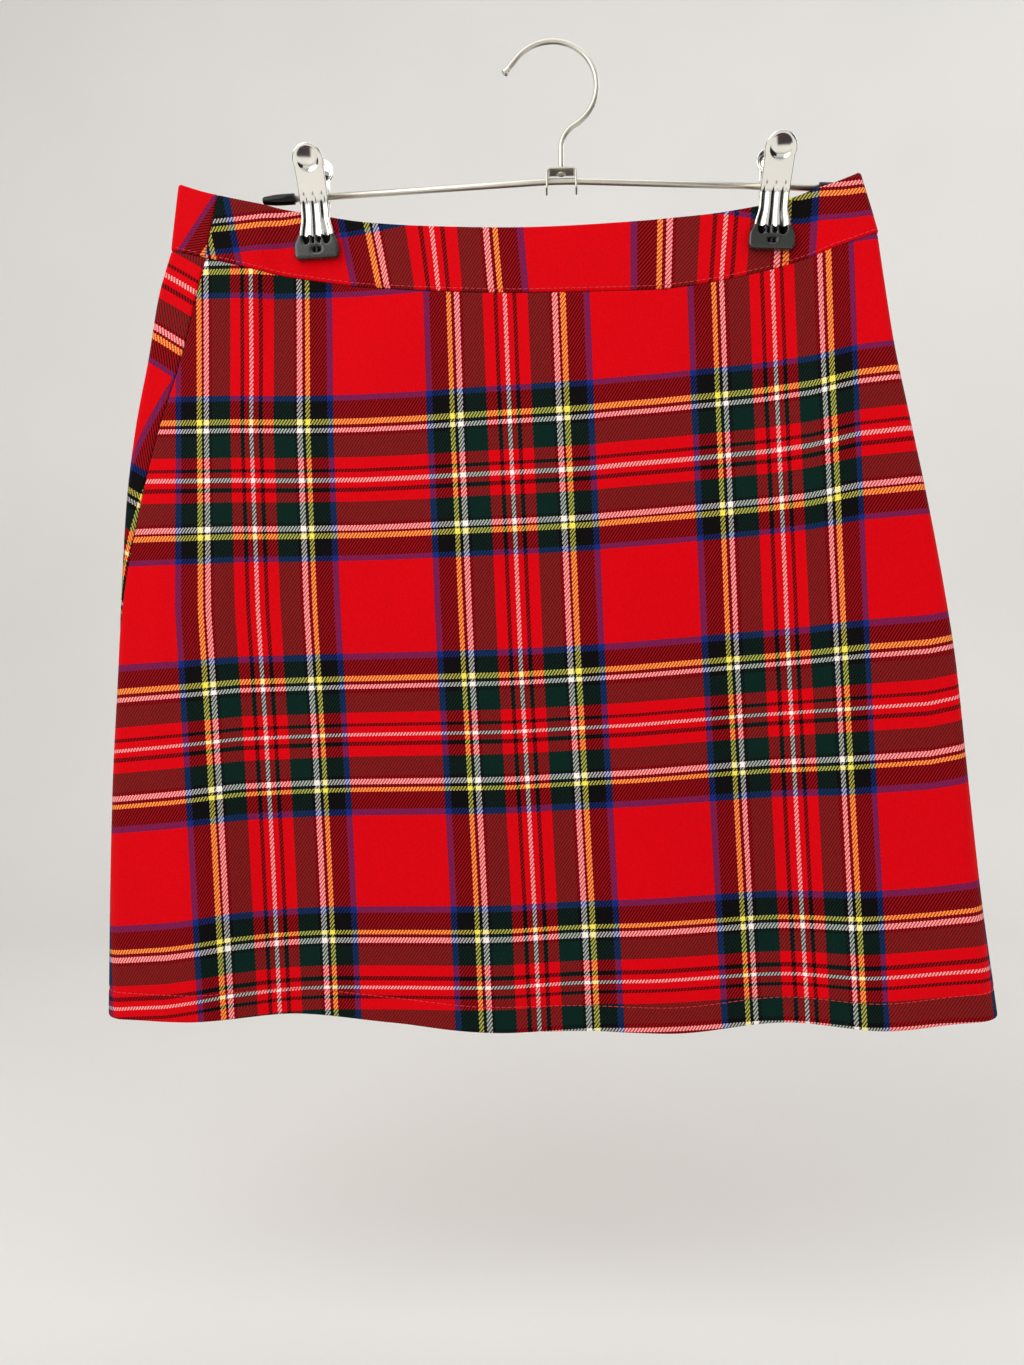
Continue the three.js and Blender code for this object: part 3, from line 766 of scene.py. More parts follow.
def dipped_vinyl(name, coat, specular, low, high):
    material, tree, shader = principled(name, Coat_Roughness=0.12)
    marks = worn(tree, 2.0, 1.0)
    hollow_painted_shade = tree.nodes.new("ShaderNodeAttribute")
    hollow_painted_shade.attribute_name = "hollow_painted_shade"
    colour = blended(tree, "MIX", marks.outputs["Smudge"], low, high)
    # painted shade: the tips' hollows are painted near black
    colour = blended(tree, "MIX", hollow_painted_shade.outputs["Fac"], colour, linear(3, 3, 3))
    tree.links.new(colour, shader.inputs["Base Color"])
    # painted shade too: the hollows lose their gloss and their coat
    shine = between(tree, hollow_painted_shade.outputs["Fac"], specular, 0.03)
    tree.links.new(shine, shader.inputs["Specular IOR Level"])
    tree.links.new(between(tree, hollow_painted_shade.outputs["Fac"], coat, 0.0), shader.inputs["Coat Weight"])
    tree.links.new(between(tree, marks.outputs["Smudge"], 0.12, 0.34), shader.inputs["Roughness"])
    add_bump(tree, shader, marks.outputs["Smudge"], 0.25, 0.2)
    return material


WIRE_FINISH = satin_wire()
PLATING = bright_plating()
VINYL = dipped_vinyl("black dipped vinyl", 0.4, 0.5, linear(18, 19, 18), linear(52, 56, 52))
CAP_VINYL = dipped_vinyl("black cap vinyl", 0.12, 0.2, linear(6, 6, 6), linear(12, 12, 12))
print("materials:", [m.name for m in bpy.data.materials])

# %% [markdown]
# ## Cutting the cloth
#
# A piece of cloth starts as a grid from `create_grid`. Each column is then laid at a
# measured length along its level and each row at its height, so the grid becomes the hung
# cloth. Rows and columns crowd where the surface does something small: at the seams, where
# the edge curls in under its neighbour, at the hem's line of stitches, and round the folds.

# %% Finish a mesh and a piece


def at_mm(point):
    """Takes a shape in millimetres to its place, in metres."""
    return Matrix.Scale(MM, 4) @ Matrix.Translation(point)


def mesh_from(bm, name):
    mesh = bpy.data.meshes.new(name)
    bm.to_mesh(mesh)
    bm.free()
    return mesh


def closed_mesh(bm, name):
    bmesh.ops.recalc_face_normals(bm, faces=bm.faces)
    return mesh_from(bm, name)


def add_piece(name, mesh, material, slot, *replaced):
    """Puts a mesh in the scene as a piece of the one body."""
    mesh.materials.append(material)
    mesh.shade_smooth()
    piece = bpy.data.objects.new(name, mesh)
    bpy.context.scene.collection.objects.link(piece)
    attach(piece, "root")
    if replaced:
        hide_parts(*replaced)
    return piece


# %% Where the columns go
EDGE_STEPS = [0, 0.25, 0.6, 1.0, 1.5, 2.1, 2.8]
EDGE_BAND = 3.6  # beyond the edge's own steps the even spacing starts here
PROBES = 900
FOLD_WEIGHT = 24  # one radian of turn asks for as many columns as this length


def columns_between(level, start, end, count):
    """Lengths from seam to seam: fine at the edges, crowded where the cloth turns."""
    probe = np.linspace(start + EDGE_BAND, end - EDGE_BAND, PROBES)
    out_x, out_y = level.outward(probe)
    heading = np.unwrap(np.arctan2(out_y, out_x))
    step = np.diff(probe) + FOLD_WEIGHT * np.abs(np.diff(heading))
    effort = np.concatenate([[0], np.cumsum(step)])
    inner = np.interp(np.linspace(0, effort[-1], count), effort, probe)
    edge = np.array(EDGE_STEPS)
    return np.concatenate([start + edge, inner, end - edge[::-1]])


# %% Lay a grid as hung cloth


def hang_cloth(name, rows, columns, behind, sides, level_at, height_at, relief_at, place_at):
    """A sheet of cloth laid on the tube of levels. Gives its mesh, with the grid of places as its cloth
    map, and the grid of points.
    """
    shape = (len(rows), columns + 2 * len(EDGE_STEPS))
    points, places = np.zeros(shape + (3,)), np.zeros(shape + (2,))
    for k, down in enumerate(rows):
        level = level_at(down)
        left_seam = float(along(sides, 3, down))
        right_seam = level.right_fold + float(along(sides, 4, down))
        start, end = (right_seam, level.total + left_seam) if behind else (left_seam, right_seam)
        length = columns_between(level, start, end, columns)
        x, y = level.at(length)
        z = height_at(np.clip((x - level.left) / level.width, 0, 1), down, y)
        around = level.total - length if behind else length
        seam = np.minimum(length - start, end - length)
        out_x, out_y = level.outward(length)
        proud = relief_at(x, z, seam, down, around)
        points[k] = np.stack([x + out_x * proud, y + out_y * proud, z], 1)
        flat_x = level.left + around if behind else level.unfolded(length)
        places[k] = np.stack(place_at(flat_x, z, around, down), 1)
    return grid_mesh(name, points, places), points


def grid_mesh(name, points, places):
    """A grid from create_grid, with its vertices at these points and a cloth map."""
    row_count, column_count = points.shape[:2]
    bm = bmesh.new()
    bmesh.ops.create_grid(bm, x_segments=column_count - 1, y_segments=row_count - 1, size=1)
    spots = np.array([v.co for v in bm.verts])
    column = np.rint((spots[:, 0] + 1) / 2 * (column_count - 1)).astype(int)
    row = np.rint((1 - spots[:, 1]) / 2 * (row_count - 1)).astype(int)
    mesh = mesh_from(bm, name)
    mesh.vertices.foreach_set("co", (points[row, column] * MM).ravel())
    corner = np.zeros(len(mesh.loops), int)
    mesh.loops.foreach_get("vertex_index", corner)
    cloth = mesh.uv_layers.new(name="cloth")
    cloth.data.foreach_set("uv", (places[row, column][corner] * MM).ravel())
    mesh.update()
    return mesh


def thicken(piece, wall, thin=None, group=None):
    """Gives a sheet its wall, inwards. Outside the group, the wall is thinner."""
    wall_maker = piece.modifiers.new("wall", "SOLIDIFY")
    wall_maker.thickness = wall * MM
    wall_maker.offset = -1
    wall_maker.use_even_offset = True
    if group:
        wall_maker.vertex_group = group
        wall_maker.thickness_vertex_group = thin


def round_edges(piece, width):
    rounded = piece.modifiers.new("edge", "BEVEL")
    rounded.width = width * MM
    rounded.segments = 2


# %% [markdown]
# ### Panels
#
# The hem is turned up and stitched 13.5 mm above its edge, which pulls a shallow groove
# into the cloth. Two short darts shape the front under the waistband. Longer soft creases
# are placed one by one: each is a line with a width and a height, faded out at both ends.

# %% Relief of the panels
HEM_TURN = 13.5
HEM_GROOVE = 0.3
PANEL_LENGTH = 392
FRONT_CREASES = [  # from x, z to x, z, half width, height
    (-99.5, -127, -95.5, -139, 1.1, -0.7),
    (57.5, -126, 60.5, -136, 1.1, -0.7),
    (-150, -150, -176, -330, 16, 0.9),
    (-60, -140, -80, -300, 14, -0.8),
    (30, -150, 42, -330, 16, 0.8),
    (95, -140, 130, -290, 13, -0.8),
    (140, -160, 172, -360, 10, 0.9),
    (-200, -200, -205, -380, 7, 0.7),
]
BACK_CREASES = [
    (-99, -127, -96, -150, 1.3, -0.8),
    (60, -126, 62, -150, 1.3, -0.8),
    (-140, -160, -160, -360, 15, 0.9),
    (-30, -140, -45, -330, 16, -0.8),
    (70, -150, 90, -350, 14, 0.9),
    (130, -140, 165, -330, 11, -0.7),
]


def crease(x, z, x0, z0, x1, z1, half_width, height):
    """A soft ridge or furrow along a line, faded at its ends."""
    run = np.array([x1 - x0, z1 - z0])
    reach = np.hypot(*run)
    t = ((x - x0) * run[0] + (z - z0) * run[1]) / reach**2
    off = ((x - x0) * run[1] - (z - z0) * run[0]) / reach
    fade = ease(t / 0.25) * ease((1 - t) / 0.25)
    return height * np.exp(-((off / half_width) ** 2)) * fade


def seam_curl(distance, deep, reach):
    """How far an edge dips where it turns in to its seam."""
    t = np.clip(1 - distance / reach, 0, 1)
    return -deep * (1 - np.sqrt(np.maximum(1 - t * t, 0)))


def panel_relief(creases):
    def relief(x, z, seam, down, _around):
        above_hem = (1 - down) * PANEL_LENGTH
        curl = seam_curl(seam, 0.9, 1.8) + seam_curl(down * PANEL_LENGTH, 0.9, 1.8)
        curl = curl + seam_curl(above_hem, 0.6, 1.2)
        groove = -HEM_GROOVE * np.exp(-(((above_hem - HEM_TURN) / 1.1) ** 2))
        pucker = 0.16 * ease((HEM_TURN - above_hem) / 3) * np.sin(x / 6.1 + 2 * np.sin(x / 37))
        return curl + groove + pucker + sum(crease(x, z, *line) for line in creases)

    return relief


# %% Rows and heights of the panels


def panel_rows():
    top = np.array(EDGE_STEPS) / PANEL_LENGTH
    stitched = HEM_TURN + np.array([2.6, 1.8, 1.2, 0.6, 0, -0.6, -1.2, -1.8, -2.6])
    bottom = 1 - np.array(EDGE_STEPS)[::-1] / PANEL_LENGTH
    middle = np.linspace(4, PANEL_LENGTH - HEM_TURN - 4, 138) / PANEL_LENGTH
    turned = 1 - np.array([9.6, 8.2, 6.8, 5.4, 4.0]) / PANEL_LENGTH
    return np.concatenate([top, middle, 1 - stitched / PANEL_LENGTH, turned, bottom])


def panel_height(across, down, _y):
    return mix(along(WAIST, 2, across), along(HEM, 1, across), down)


# %% Front and back panels
PANEL_COLUMNS = 176
PANEL_WALL, SINGLE_SHARE = 1.2, 0.7  # the doubled hem's wall, and the single cloth's share of it


def panel(name, behind, creases, place_at):
    relief = panel_relief(creases)
    laid = PANEL_SIDES, panel_level, panel_height, relief, place_at
    mesh, points = hang_cloth(name, panel_rows(), PANEL_COLUMNS, behind, *laid)
    piece = add_piece(name + "_cloth", mesh, CLOTH, "tartan_cloth", name)
    doubled = piece.vertex_groups.new(name="doubled hem")
    hem_from = int(np.searchsorted(panel_rows(), 1 - HEM_TURN / PANEL_LENGTH))
    hem_height = {round(float(z), 7) for z in (points[hem_from:, :, 2] * MM).ravel()}
    low = [v.index for v in mesh.vertices if round(v.co.z, 7) in hem_height]
    doubled.add(low, 1.0, "REPLACE")
    thicken(piece, PANEL_WALL, SINGLE_SHARE, "doubled hem")
    print(name, len(mesh.polygons), "faces")
    return piece, points


front_panel, front_points = panel("front_panel", False, FRONT_CREASES, front_panel_place)
back_panel, back_points = panel("back_panel", True, BACK_CREASES, back_panel_place)

# %% [markdown]
# ### Waistband
#
# The band is a strip of doubled cloth. Its top edge is a fold, so it is rounded, and its
# lower edge is turned in against the panel. It stands a little proud of the panels.

# %% The two halves of the waistband
BAND_DEPTH = 33.5
BAND_COLUMNS = 230
BAND_WALL = 2.0
BACK_RISES = 1.6  # the back's top edge shows this far above the front's, near the left fold


def band_rows():
    edge = np.array(EDGE_STEPS)
    middle = np.linspace(EDGE_BAND, BAND_DEPTH - EDGE_BAND, 18)
    return np.concatenate([edge, middle, BAND_DEPTH - edge[::-1]]) / BAND_DEPTH


def band_height(across, down, y):
    rise = np.where(y > 0, BACK_RISES * ease(1 - across / 0.3) * np.clip(across / 0.02, 0, 1), 0)
    return mix(along(WAIST, 1, across) + rise, along(WAIST, 2, across), down)


def band_relief(x, z, seam, down, _around):
    curl = seam_curl(seam, 0.8, 1.6) + seam_curl((1 - down) * BAND_DEPTH, 1.0, 1.7)
    curl = curl + seam_curl(down * BAND_DEPTH, 0.9, 1.2)
    ripple = np.sin(x / 11 + 1.3 * np.sin(x / 29)) * np.sin(math.pi * down)
    return curl + 0.12 * ripple


def waistband(name, behind, place_at):
    laid = BAND_SIDES, band_level, band_height, band_relief, place_at
    mesh, points = hang_cloth(name, band_rows(), BAND_COLUMNS, behind, *laid)
    piece = add_piece(name + "_cloth", mesh, CLOTH, "tartan_cloth", name)
    thicken(piece, BAND_WALL)
    print(name, len(mesh.polygons), "faces")
    return piece, points


front_band, front_band_points = waistband("front_waistband", False, front_band_place)
back_band, back_band_points = waistband("back_waistband", True, back_band_place)

# %% [markdown]
# ### Stitches
#
# The hem's stitches are short beads of thread that lie in their groove. One bead has only
# a few dozen faces, because hundreds of them are laid along each line.

# %% Lay stitches along a line of the cloth
STITCH_PITCH = 3.0
STITCH_LENGTH = 2.4
STITCH_THICK = 0.42
STITCH_PROUD = 0.06
STITCH_FACES = 80
PLAIN_ENDS = 2  # the stitching starts and stops this far from the line's ends
BAND_STITCH_UP = 1.5


def along_line(line, length, at):
    """The point of a line at this length along it."""
    return Vector([float(np.interp(at, length, line[:, k])) for k in range(3)])


def stitches(name, line, side):
    """Beads of thread along a line of points, half sunk in the cloth."""
    steps = np.linalg.norm(np.diff(line, axis=0), axis=1)
    length = np.concatenate([[0], np.cumsum(steps)])
    size = Matrix.Diagonal((STITCH_LENGTH / 2, STITCH_THICK / 2, STITCH_THICK / 2.4, 1))
    bm = bmesh.new()
    for spot in np.arange(PLAIN_ENDS, length[-1] - PLAIN_ENDS, STITCH_PITCH):
        start = along_line(line, length, spot - STITCH_LENGTH / 2)
        end = along_line(line, length, spot + STITCH_LENGTH / 2)
        run = (end - start).normalized()
        out = Vector((0, side, 0))
        out = (out - run * out.dot(run)).normalized()
        turn = Matrix((run, out.cross(run), out)).transposed().to_4x4()
        place = at_mm((start + end) / 2 + out * STITCH_PROUD) @ turn @ size
        bmesh.ops.create_icosphere(bm, subdivisions=2, radius=1, matrix=place)
    piece = add_piece(name, mesh_from(bm, name), THREAD, "tartan_cloth")
    print(name, len(piece.data.polygons) // STITCH_FACES)
    return piece


def hem_stitches(name, points, side):
    row = np.argmin(np.abs(panel_rows() - (1 - HEM_TURN / PANEL_LENGTH)))
    return stitches(name, points[row], side)


def band_stitches(name, points, side):
    row = np.argmin(np.abs(band_rows() - (1 - BAND_STITCH_UP / BAND_DEPTH)))
    return stitches(name, points[row, len(EDGE_STEPS) : -len(EDGE_STEPS)], side)


front_hem = hem_stitches("front_hem_stitches", front_points, -1)
back_hem = hem_stitches("back_hem_stitches", back_points, 1)
front_understitch = band_stitches("front_waistband_stitches", front_band_points, -1)
back_understitch = band_stitches("back_waistband_stitches", back_band_points, 1)

# %% [markdown]
# ## Wire
#
# The hook, the bar and the clips' springs are all drawn wire: a ring of edges pushed along
# a path, one step a time, and closed at both ends. `extrude_edge_only` grows the ring and a
# transform carries it to the next point.

# %% Draw a wire along a path


def grow(bm, edges):
    """Extrudes a row of edges. Gives the new vertices and the new row."""
    grown = bmesh.ops.extrude_edge_only(bm, edges=edges)["geom"]
    verts = [g for g in grown if isinstance(g, bmesh.types.BMVert)]
    fresh = set(verts)
    new_edges = [g for g in grown if isinstance(g, bmesh.types.BMEdge)]
    return verts, [e for e in new_edges if all(v in fresh for v in e.verts)]


def open_row(bm, points):
    """Edges from point to point. The points are in millimetres."""
    verts = [bm.verts.new(Vector(p) * MM) for p in points]
    return [bm.edges.new(pair) for pair in zip(verts, verts[1:])]


def frames_along(path):
    """A turning frame at every point of a path, without twist."""
    padded = [path[0], *path, path[-1]]
    tangents = [(after - before).normalized() for before, after in zip(padded, padded[2:])]
    side = tangents[0].orthogonal().normalized()
    frames = []
    for point, ahead in zip(path, tangents):
        side = (side - ahead * side.dot(ahead)).normalized()
        turn = Matrix((side, ahead.cross(side), ahead)).transposed().to_4x4()
        frames.append(Matrix.Translation(point) @ turn)
    return frames


def draw_wire(bm, path, radius, sides=16):
    """Pushes a ring of edges along a path of points in millimetres and closes its ends."""
    frames = frames_along([p * MM for p in path])
    bmesh.ops.create_circle(bm, cap_ends=False, segments=sides, radius=radius * MM, matrix=frames[0])
    first = ring = list(bm.edges)
    for before, after in zip(frames, frames[1:]):
        verts, ring = grow(bm, ring)
        bmesh.ops.transform(bm, matrix=after @ before.inverted(), verts=verts)
    for edges in (first, ring):
        bmesh.ops.holes_fill(bm, edges=edges, sides=0)


def upright(x, z):
    """A point of the bar's plane."""
    return Vector((x, 0, z))


def arc(x, z, radius, start, end, steps):
    """Points on an arc in the bar's plane, in degrees from +X."""
    angles = [math.radians(mix(start, end, i / steps)) for i in range(steps + 1)]
    return [upright(x + radius * math.cos(a), z + radius * math.sin(a)) for a in angles]


# %% [markdown]
# ### Hook
#
# The crook is an arc about the rail's place, and a second arc turns it back over the stem.
# The free end is nipped to a small bead, and the foot is riveted under the saddle so that
# the hook can swivel.

# %% Hook
WIRE = 2.8
HOOK_INSIDE = 21.9
CROOK_FROM, CROOK_TO = 142, -60  # degrees from +X
FREE_END = 8.2  # the straight end before the crook
STEM_X = 5.2
STEM_BELOW = 1.6  # how far the stem reaches down through the saddle
SADDLE_TOP = -64.9


def hook_path():
    crook = HOOK_INSIDE + WIRE / 2
    leave = math.radians(CROOK_TO)
    turn_back = (crook * math.cos(leave) - STEM_X) / (1 - math.cos(leave))
    turn_z = -HOOK_INSIDE + (crook + turn_back) * math.sin(leave)
    path = arc(0, -HOOK_INSIDE, crook, CROOK_FROM, CROOK_TO, 64)
    free_end = path[0] - FREE_END * (path[1] - path[0]).normalized()
    path = [free_end, free_end.lerp(path[0], 0.4), free_end.lerp(path[0], 0.8)] + path
    path += arc(STEM_X + turn_back, turn_z, turn_back, 180 + CROOK_TO, 180, 14)[1:]
    return path + [upright(STEM_X, mix(turn_z, SADDLE_TOP - STEM_BELOW, t)) for t in (0.3, 0.65, 1)]


def bead(bm, place, radius, squeeze, rings=12, segments=24):
    """A squeezed ball of metal."""
    matrix = place @ Matrix.Diagonal((*squeeze, 1))
    bmesh.ops.create_uvsphere(bm, u_segments=segments, v_segments=rings, radius=radius, matrix=matrix)


def hook():
    path = hook_path()
    bm = bmesh.new()
    draw_wire(bm, path, WIRE / 2, 20)
    turn = (path[0] - path[1]).normalized().to_track_quat("X", "Z").to_matrix().to_4x4()
    bead(bm, at_mm(path[0]) @ turn, 1.75, (0.75, 1.12, 1.12), segments=20)
    bead(bm, at_mm(upright(STEM_X, SADDLE_TOP - 1.9)), 2.4, (1, 1, 0.42))  # the rivet
    bead(bm, at_mm(upright(STEM_X, SADDLE_TOP + 0.25)), 2.1, (1, 1, 0.35), rings=10)  # its collar
    add_piece("hook_wire", closed_mesh(bm, "hook_wire"), WIRE_FINISH, "hanger_wire", "hanger_hook")


hook()

# %% [markdown]
# ### Bar
#
# The bar is one wire with a soft bend where the saddle carries it.

# %% Bar
BAR_WIRE = 3.2
BAR_LEFT, BAR_PEAK, BAR_RIGHT = (-148, -76.8), (5.4, -70.2), (150.5, -78.0)
BAR_BEND = 14


def bar_height(x):
    end = BAR_LEFT if x < BAR_PEAK[0] else BAR_RIGHT
    return mix(BAR_PEAK[1], end[1], (x - BAR_PEAK[0]) / (end[0] - BAR_PEAK[0]))


def bar():
    places = BAR_LEFT[0], BAR_PEAK[0] - BAR_BEND, BAR_PEAK[0] + BAR_BEND, BAR_RIGHT[0]
    left, before, after, right = (upright(x, bar_height(x)) for x in places)
    peak = upright(*BAR_PEAK)
    bend = [before.lerp(peak, t).lerp(peak.lerp(after, t), t) for t in np.linspace(0, 1, 9)]
    bm = bmesh.new()
    draw_wire(bm, [left, *bend, right], BAR_WIRE / 2, 20)
    add_piece("bar_wire", closed_mesh(bm, "bar_wire"), WIRE_FINISH, "hanger_wire", "hanger_bar")


bar()

# %% [markdown]
# ### Saddle
#
# The saddle is a strap folded over the bar: a flat profile with two round corners, swept
# through its depth and given its thickness. Its lower ends turn out a little.

# %% Saddle
SADDLE_LEFT, SADDLE_RIGHT, SADDLE_BOTTOM = -2.5, 13.3, -75.6
SADDLE_DEPTH = 8.4
SADDLE_CORNER = 2.2
SADDLE_SHEET = 1.0
SADDLE_FLARE, FLARE_HEIGHT = 0.25, 2
SADDLE_STEPS = 6


def saddle():
    z, knee = SADDLE_TOP - SADDLE_CORNER, SADDLE_BOTTOM + FLARE_HEIGHT
    profile = [
        upright(SADDLE_LEFT - SADDLE_FLARE, SADDLE_BOTTOM),
        upright(SADDLE_LEFT, knee),
        *arc(SADDLE_LEFT + SADDLE_CORNER, z, SADDLE_CORNER, 180, 90, 8),
        *arc(SADDLE_RIGHT - SADDLE_CORNER, z, SADDLE_CORNER, 90, 0, 8),
        upright(SADDLE_RIGHT, knee),
        upright(SADDLE_RIGHT + SADDLE_FLARE, SADDLE_BOTTOM),
    ]
    bm = bmesh.new()
    edges = open_row(bm, [(p.x, -SADDLE_DEPTH / 2, p.z) for p in profile])
    for _ in range(SADDLE_STEPS):
        verts, edges = grow(bm, edges)
        bmesh.ops.translate(bm, vec=(0, SADDLE_DEPTH / SADDLE_STEPS * MM, 0), verts=verts)
    bmesh.ops.recalc_face_normals(bm, faces=bm.faces)
    if sum(f.normal.z * f.calc_area() for f in bm.faces) < 0:
        bmesh.ops.reverse_faces(bm, faces=bm.faces)
    mesh = mesh_from(bm, "saddle_strap")
    piece = add_piece("saddle_strap", mesh, WIRE_FINISH, "hanger_wire", "hanger_saddle")
    thicken(piece, SADDLE_SHEET)
    round_edges(piece, 0.2)


saddle()

# %% [markdown]
# ### Sleeves
#
# The bar's ends wear blind vinyl caps. A cap is a profile spun once about its axis.

# %% Spin a profile about the bar's direction
CAP_PROFILE = [  # along the bar, radius
    (0, 0), (0, 0.7), (0.15, 1.3), (0.55, 1.75), (1.3, 2.0), (3.5, 2.3),
    (7, 2.65), (11, 2.78), (16.6, 2.75), (17, 2.5), (17, 1.62),
]
CAP_OVER = 1.7  # how far a cap reaches past the bar's end
FULL_TURN = 2 * math.pi


def spun(bm, profile, matrix, steps=24):
    """Turns a profile of (along, radius) pairs about its axis, then places it."""
    edges = open_row(bm, [upright(*pair) for pair in profile])
    geom = list(bm.verts) + edges
    axis = {"cent": (0, 0, 0), "axis": (1, 0, 0)}
    bmesh.ops.spin(bm, geom=geom, angle=FULL_TURN, steps=steps, use_merge=True, **axis)
    bmesh.ops.remove_doubles(bm, verts=bm.verts, dist=1e-6)
    bmesh.ops.transform(bm, matrix=matrix, verts=bm.verts)


def sleeve(name, end, inward):
    slope = math.atan2(BAR_PEAK[1] - end[1], abs(BAR_PEAK[0] - end[0]))
    turn = Matrix.Rotation(-slope, 4, "Y")
    if inward < 0:
        turn = Matrix.Rotation(math.pi, 4, "Z") @ turn
    place = Matrix.Translation(upright(end[0] - inward * CAP_OVER, end[1]) * MM) @ turn
    bm = bmesh.new()
    spun(bm, CAP_PROFILE, place)
    vinyl = f"{name}_vinyl"
    add_piece(vinyl, closed_mesh(bm, vinyl), CAP_VINYL, "black_vinyl", name)


sleeve("left_bar_sleeve", BAR_LEFT, 1)
sleeve("right_bar_sleeve", BAR_RIGHT, -1)

# %% [markdown]
# ## Clips
#
# A lever is one pressing: a dished thumb disc, a body stiffened by three pressed flutes and
# side walls, and a wider end that goes into the vinyl tip. The flat face is a grid fitted
# to the lever's outline. Its edge is rounded over and extruded back as a wall, and the
# flutes and the dish are pressed into it.

# %% Outline and side view of a lever
THUMB = 7.8  # half the disc's width
DISH, DISH_DEPTH = 5.5, 2.3  # the dish's half width and its depth
RIM, RIM_HEIGHT = 6.3, 0.3  # the raised ring round the dish
HALF_END = 9.0
LEVER_END = -22.6
FLARE_FROM, FLARE_RUN = -12, 9.4  # below this height the body widens to its end
FLUTE_PITCH, FLUTE_WIDTH, FLUTE_DEPTH = 4.6, 1.15, 1.05
FLUTE_TOP = -1.2
EDGE_ROUND = 0.9
LEVERS = {
    "front": {
        "side": -1,
        "view": [(-24, 3.0), (-21.4, 3.3), (-6, 5.6), (-2, 7.6), (17.6, 21.0), (20, 22.6)],
        "top": 17.6,
        "disc": 6.5,  # half the disc's height: the lever leans, so seen level it is a flat oval
        "body": 7.35,
        "ears": 6.75,
        "knee": 5.6,
    },
    "back": {
        "side": 1,
        "view": [(-24, 3.0), (-21.4, 3.3), (-6, 5.2), (24.5, 9.5), (27, 9.85)],
        "top": 24.5,
        "disc": 7.7,
        "body": 6.05,
        "ears": 5.5,
        "knee": 5.2,
    },
}


def half_width(z, shape):
    off = (z - shape["top"] + shape["disc"]) / shape["disc"]
    disc = THUMB * np.sqrt(np.maximum(1 - off**2, 0))
    flare = mix(shape["body"], HALF_END, ease((FLARE_FROM - z) / FLARE_RUN))
    return np.where(off > 0, disc, np.maximum(disc, flare))


def pressed(x, z, shape):
    """How far the face is pressed in, in millimetres: dish, flutes and rounded edge."""
    up = (z - shape["top"] + shape["disc"]) * THUMB / shape["disc"]
    from_thumb = np.hypot(x, up)
    dish = DISH_DEPTH * np.clip(1 - (from_thumb / DISH) ** 2, 0, 1)
    rim = -RIM_HEIGHT * np.exp(-(((from_thumb - RIM) / 0.6) ** 2)) * ease((up + 6) / 3)
    length = ease((FLUTE_TOP + 1.1 * np.cos(x * 2 * math.pi / FLUTE_PITCH) - z) / 3)
    level_x = x / (1 + 0.25 * ease((FLARE_FROM - z) / FLARE_RUN))
    furrows = (np.exp(-(((level_x - at) / FLUTE_WIDTH) ** 2)) for at in (-FLUTE_PITCH, 0, FLUTE_PITCH))
    flutes = FLUTE_DEPTH * length * sum(furrows)
    at_disc = np.where(up > 0, THUMB - from_thumb, np.inf)
    edge = np.minimum(half_width(z, shape) - np.abs(x), at_disc)
    over = np.clip(1 - np.maximum(edge, 0) / EDGE_ROUND, 0, 1)
    return dish + rim + flutes + EDGE_ROUND * (1 - np.sqrt(1 - over**2))


# %% Press a lever
PLATE = 0.7  # the sheet of a lever, and each step of its side walls
FACE_PROUD = 1.0  # the face lies this far outside the side view's line
DISC_ROWS, BODY_ROWS, LEVER_COLUMNS = 34, 56, 57


def lever_face(shape):
    """The places of a grid that is fitted to the lever's outline and pressed."""
    side = shape["side"]
    shoulder = 180 - math.degrees(math.asin(shape["body"] / THUMB))
    turned = np.radians(np.linspace(0, shoulder, DISC_ROWS))
    disc = shape["top"] - shape["disc"] * (1 - np.cos(turned))
    heights = np.concatenate([disc, np.linspace(disc[-1], LEVER_END, BODY_ROWS)[1:]])
    spread = np.sin(np.linspace(-1, 1, LEVER_COLUMNS) * math.pi / 2)
    z = np.repeat(heights[:, None], len(spread), 1)
    x = half_width(z, shape) * spread[None, :]
    y = side * (along(shape["view"], 1, z) + FACE_PROUD - pressed(x, z, shape))
    order = 1 if side < 0 else -1
    return np.stack([x, y, z], 2)[:, ::order]


def lever(name, shape, place, node):
    """One lever. Its side is -1 in front of the bar and +1 behind it."""
    points = lever_face(shape)
    mesh = grid_mesh(name, points, np.zeros(points.shape[:2] + (2,)))
    bm = bmesh.new()
    bm.from_mesh(mesh)
    bmesh.ops.remove_doubles(bm, verts=bm.verts, dist=1e-6)
    lowest = 2 * (LEVER_END + 0.3) * MM
    rim = [e for e in bm.edges if e.is_boundary and sum(v.co.z for v in e.verts) > lowest]
    for _ in range(2):
        verts, rim = grow(bm, rim)
        bmesh.ops.translate(bm, vec=(0, -shape["side"] * PLATE * MM, 0), verts=verts)
    bmesh.ops.transform(bm, matrix=place, verts=bm.verts)
    bm.to_mesh(mesh)
    bm.free()
    thicken(add_piece(name, mesh, PLATING, "clip_plating", node), PLATE)


# %% [markdown]
# The levers' ears reach in to the bar, which is the pivot, and a torsion spring sits round
# it between them, with one arm against each lever.

# %% Ears and spring
EAR_ROUND = 3.2
EAR_THICK = 0.9
SPRING_TURNS = 9.5
SPRING_STEPS = 18  # points in one turn
SPRING_MEAN, SPRING_HALF = 2.42, 4.1  # its mean radius and half its length
SPRING_WIRE = 0.42  # the wire's radius


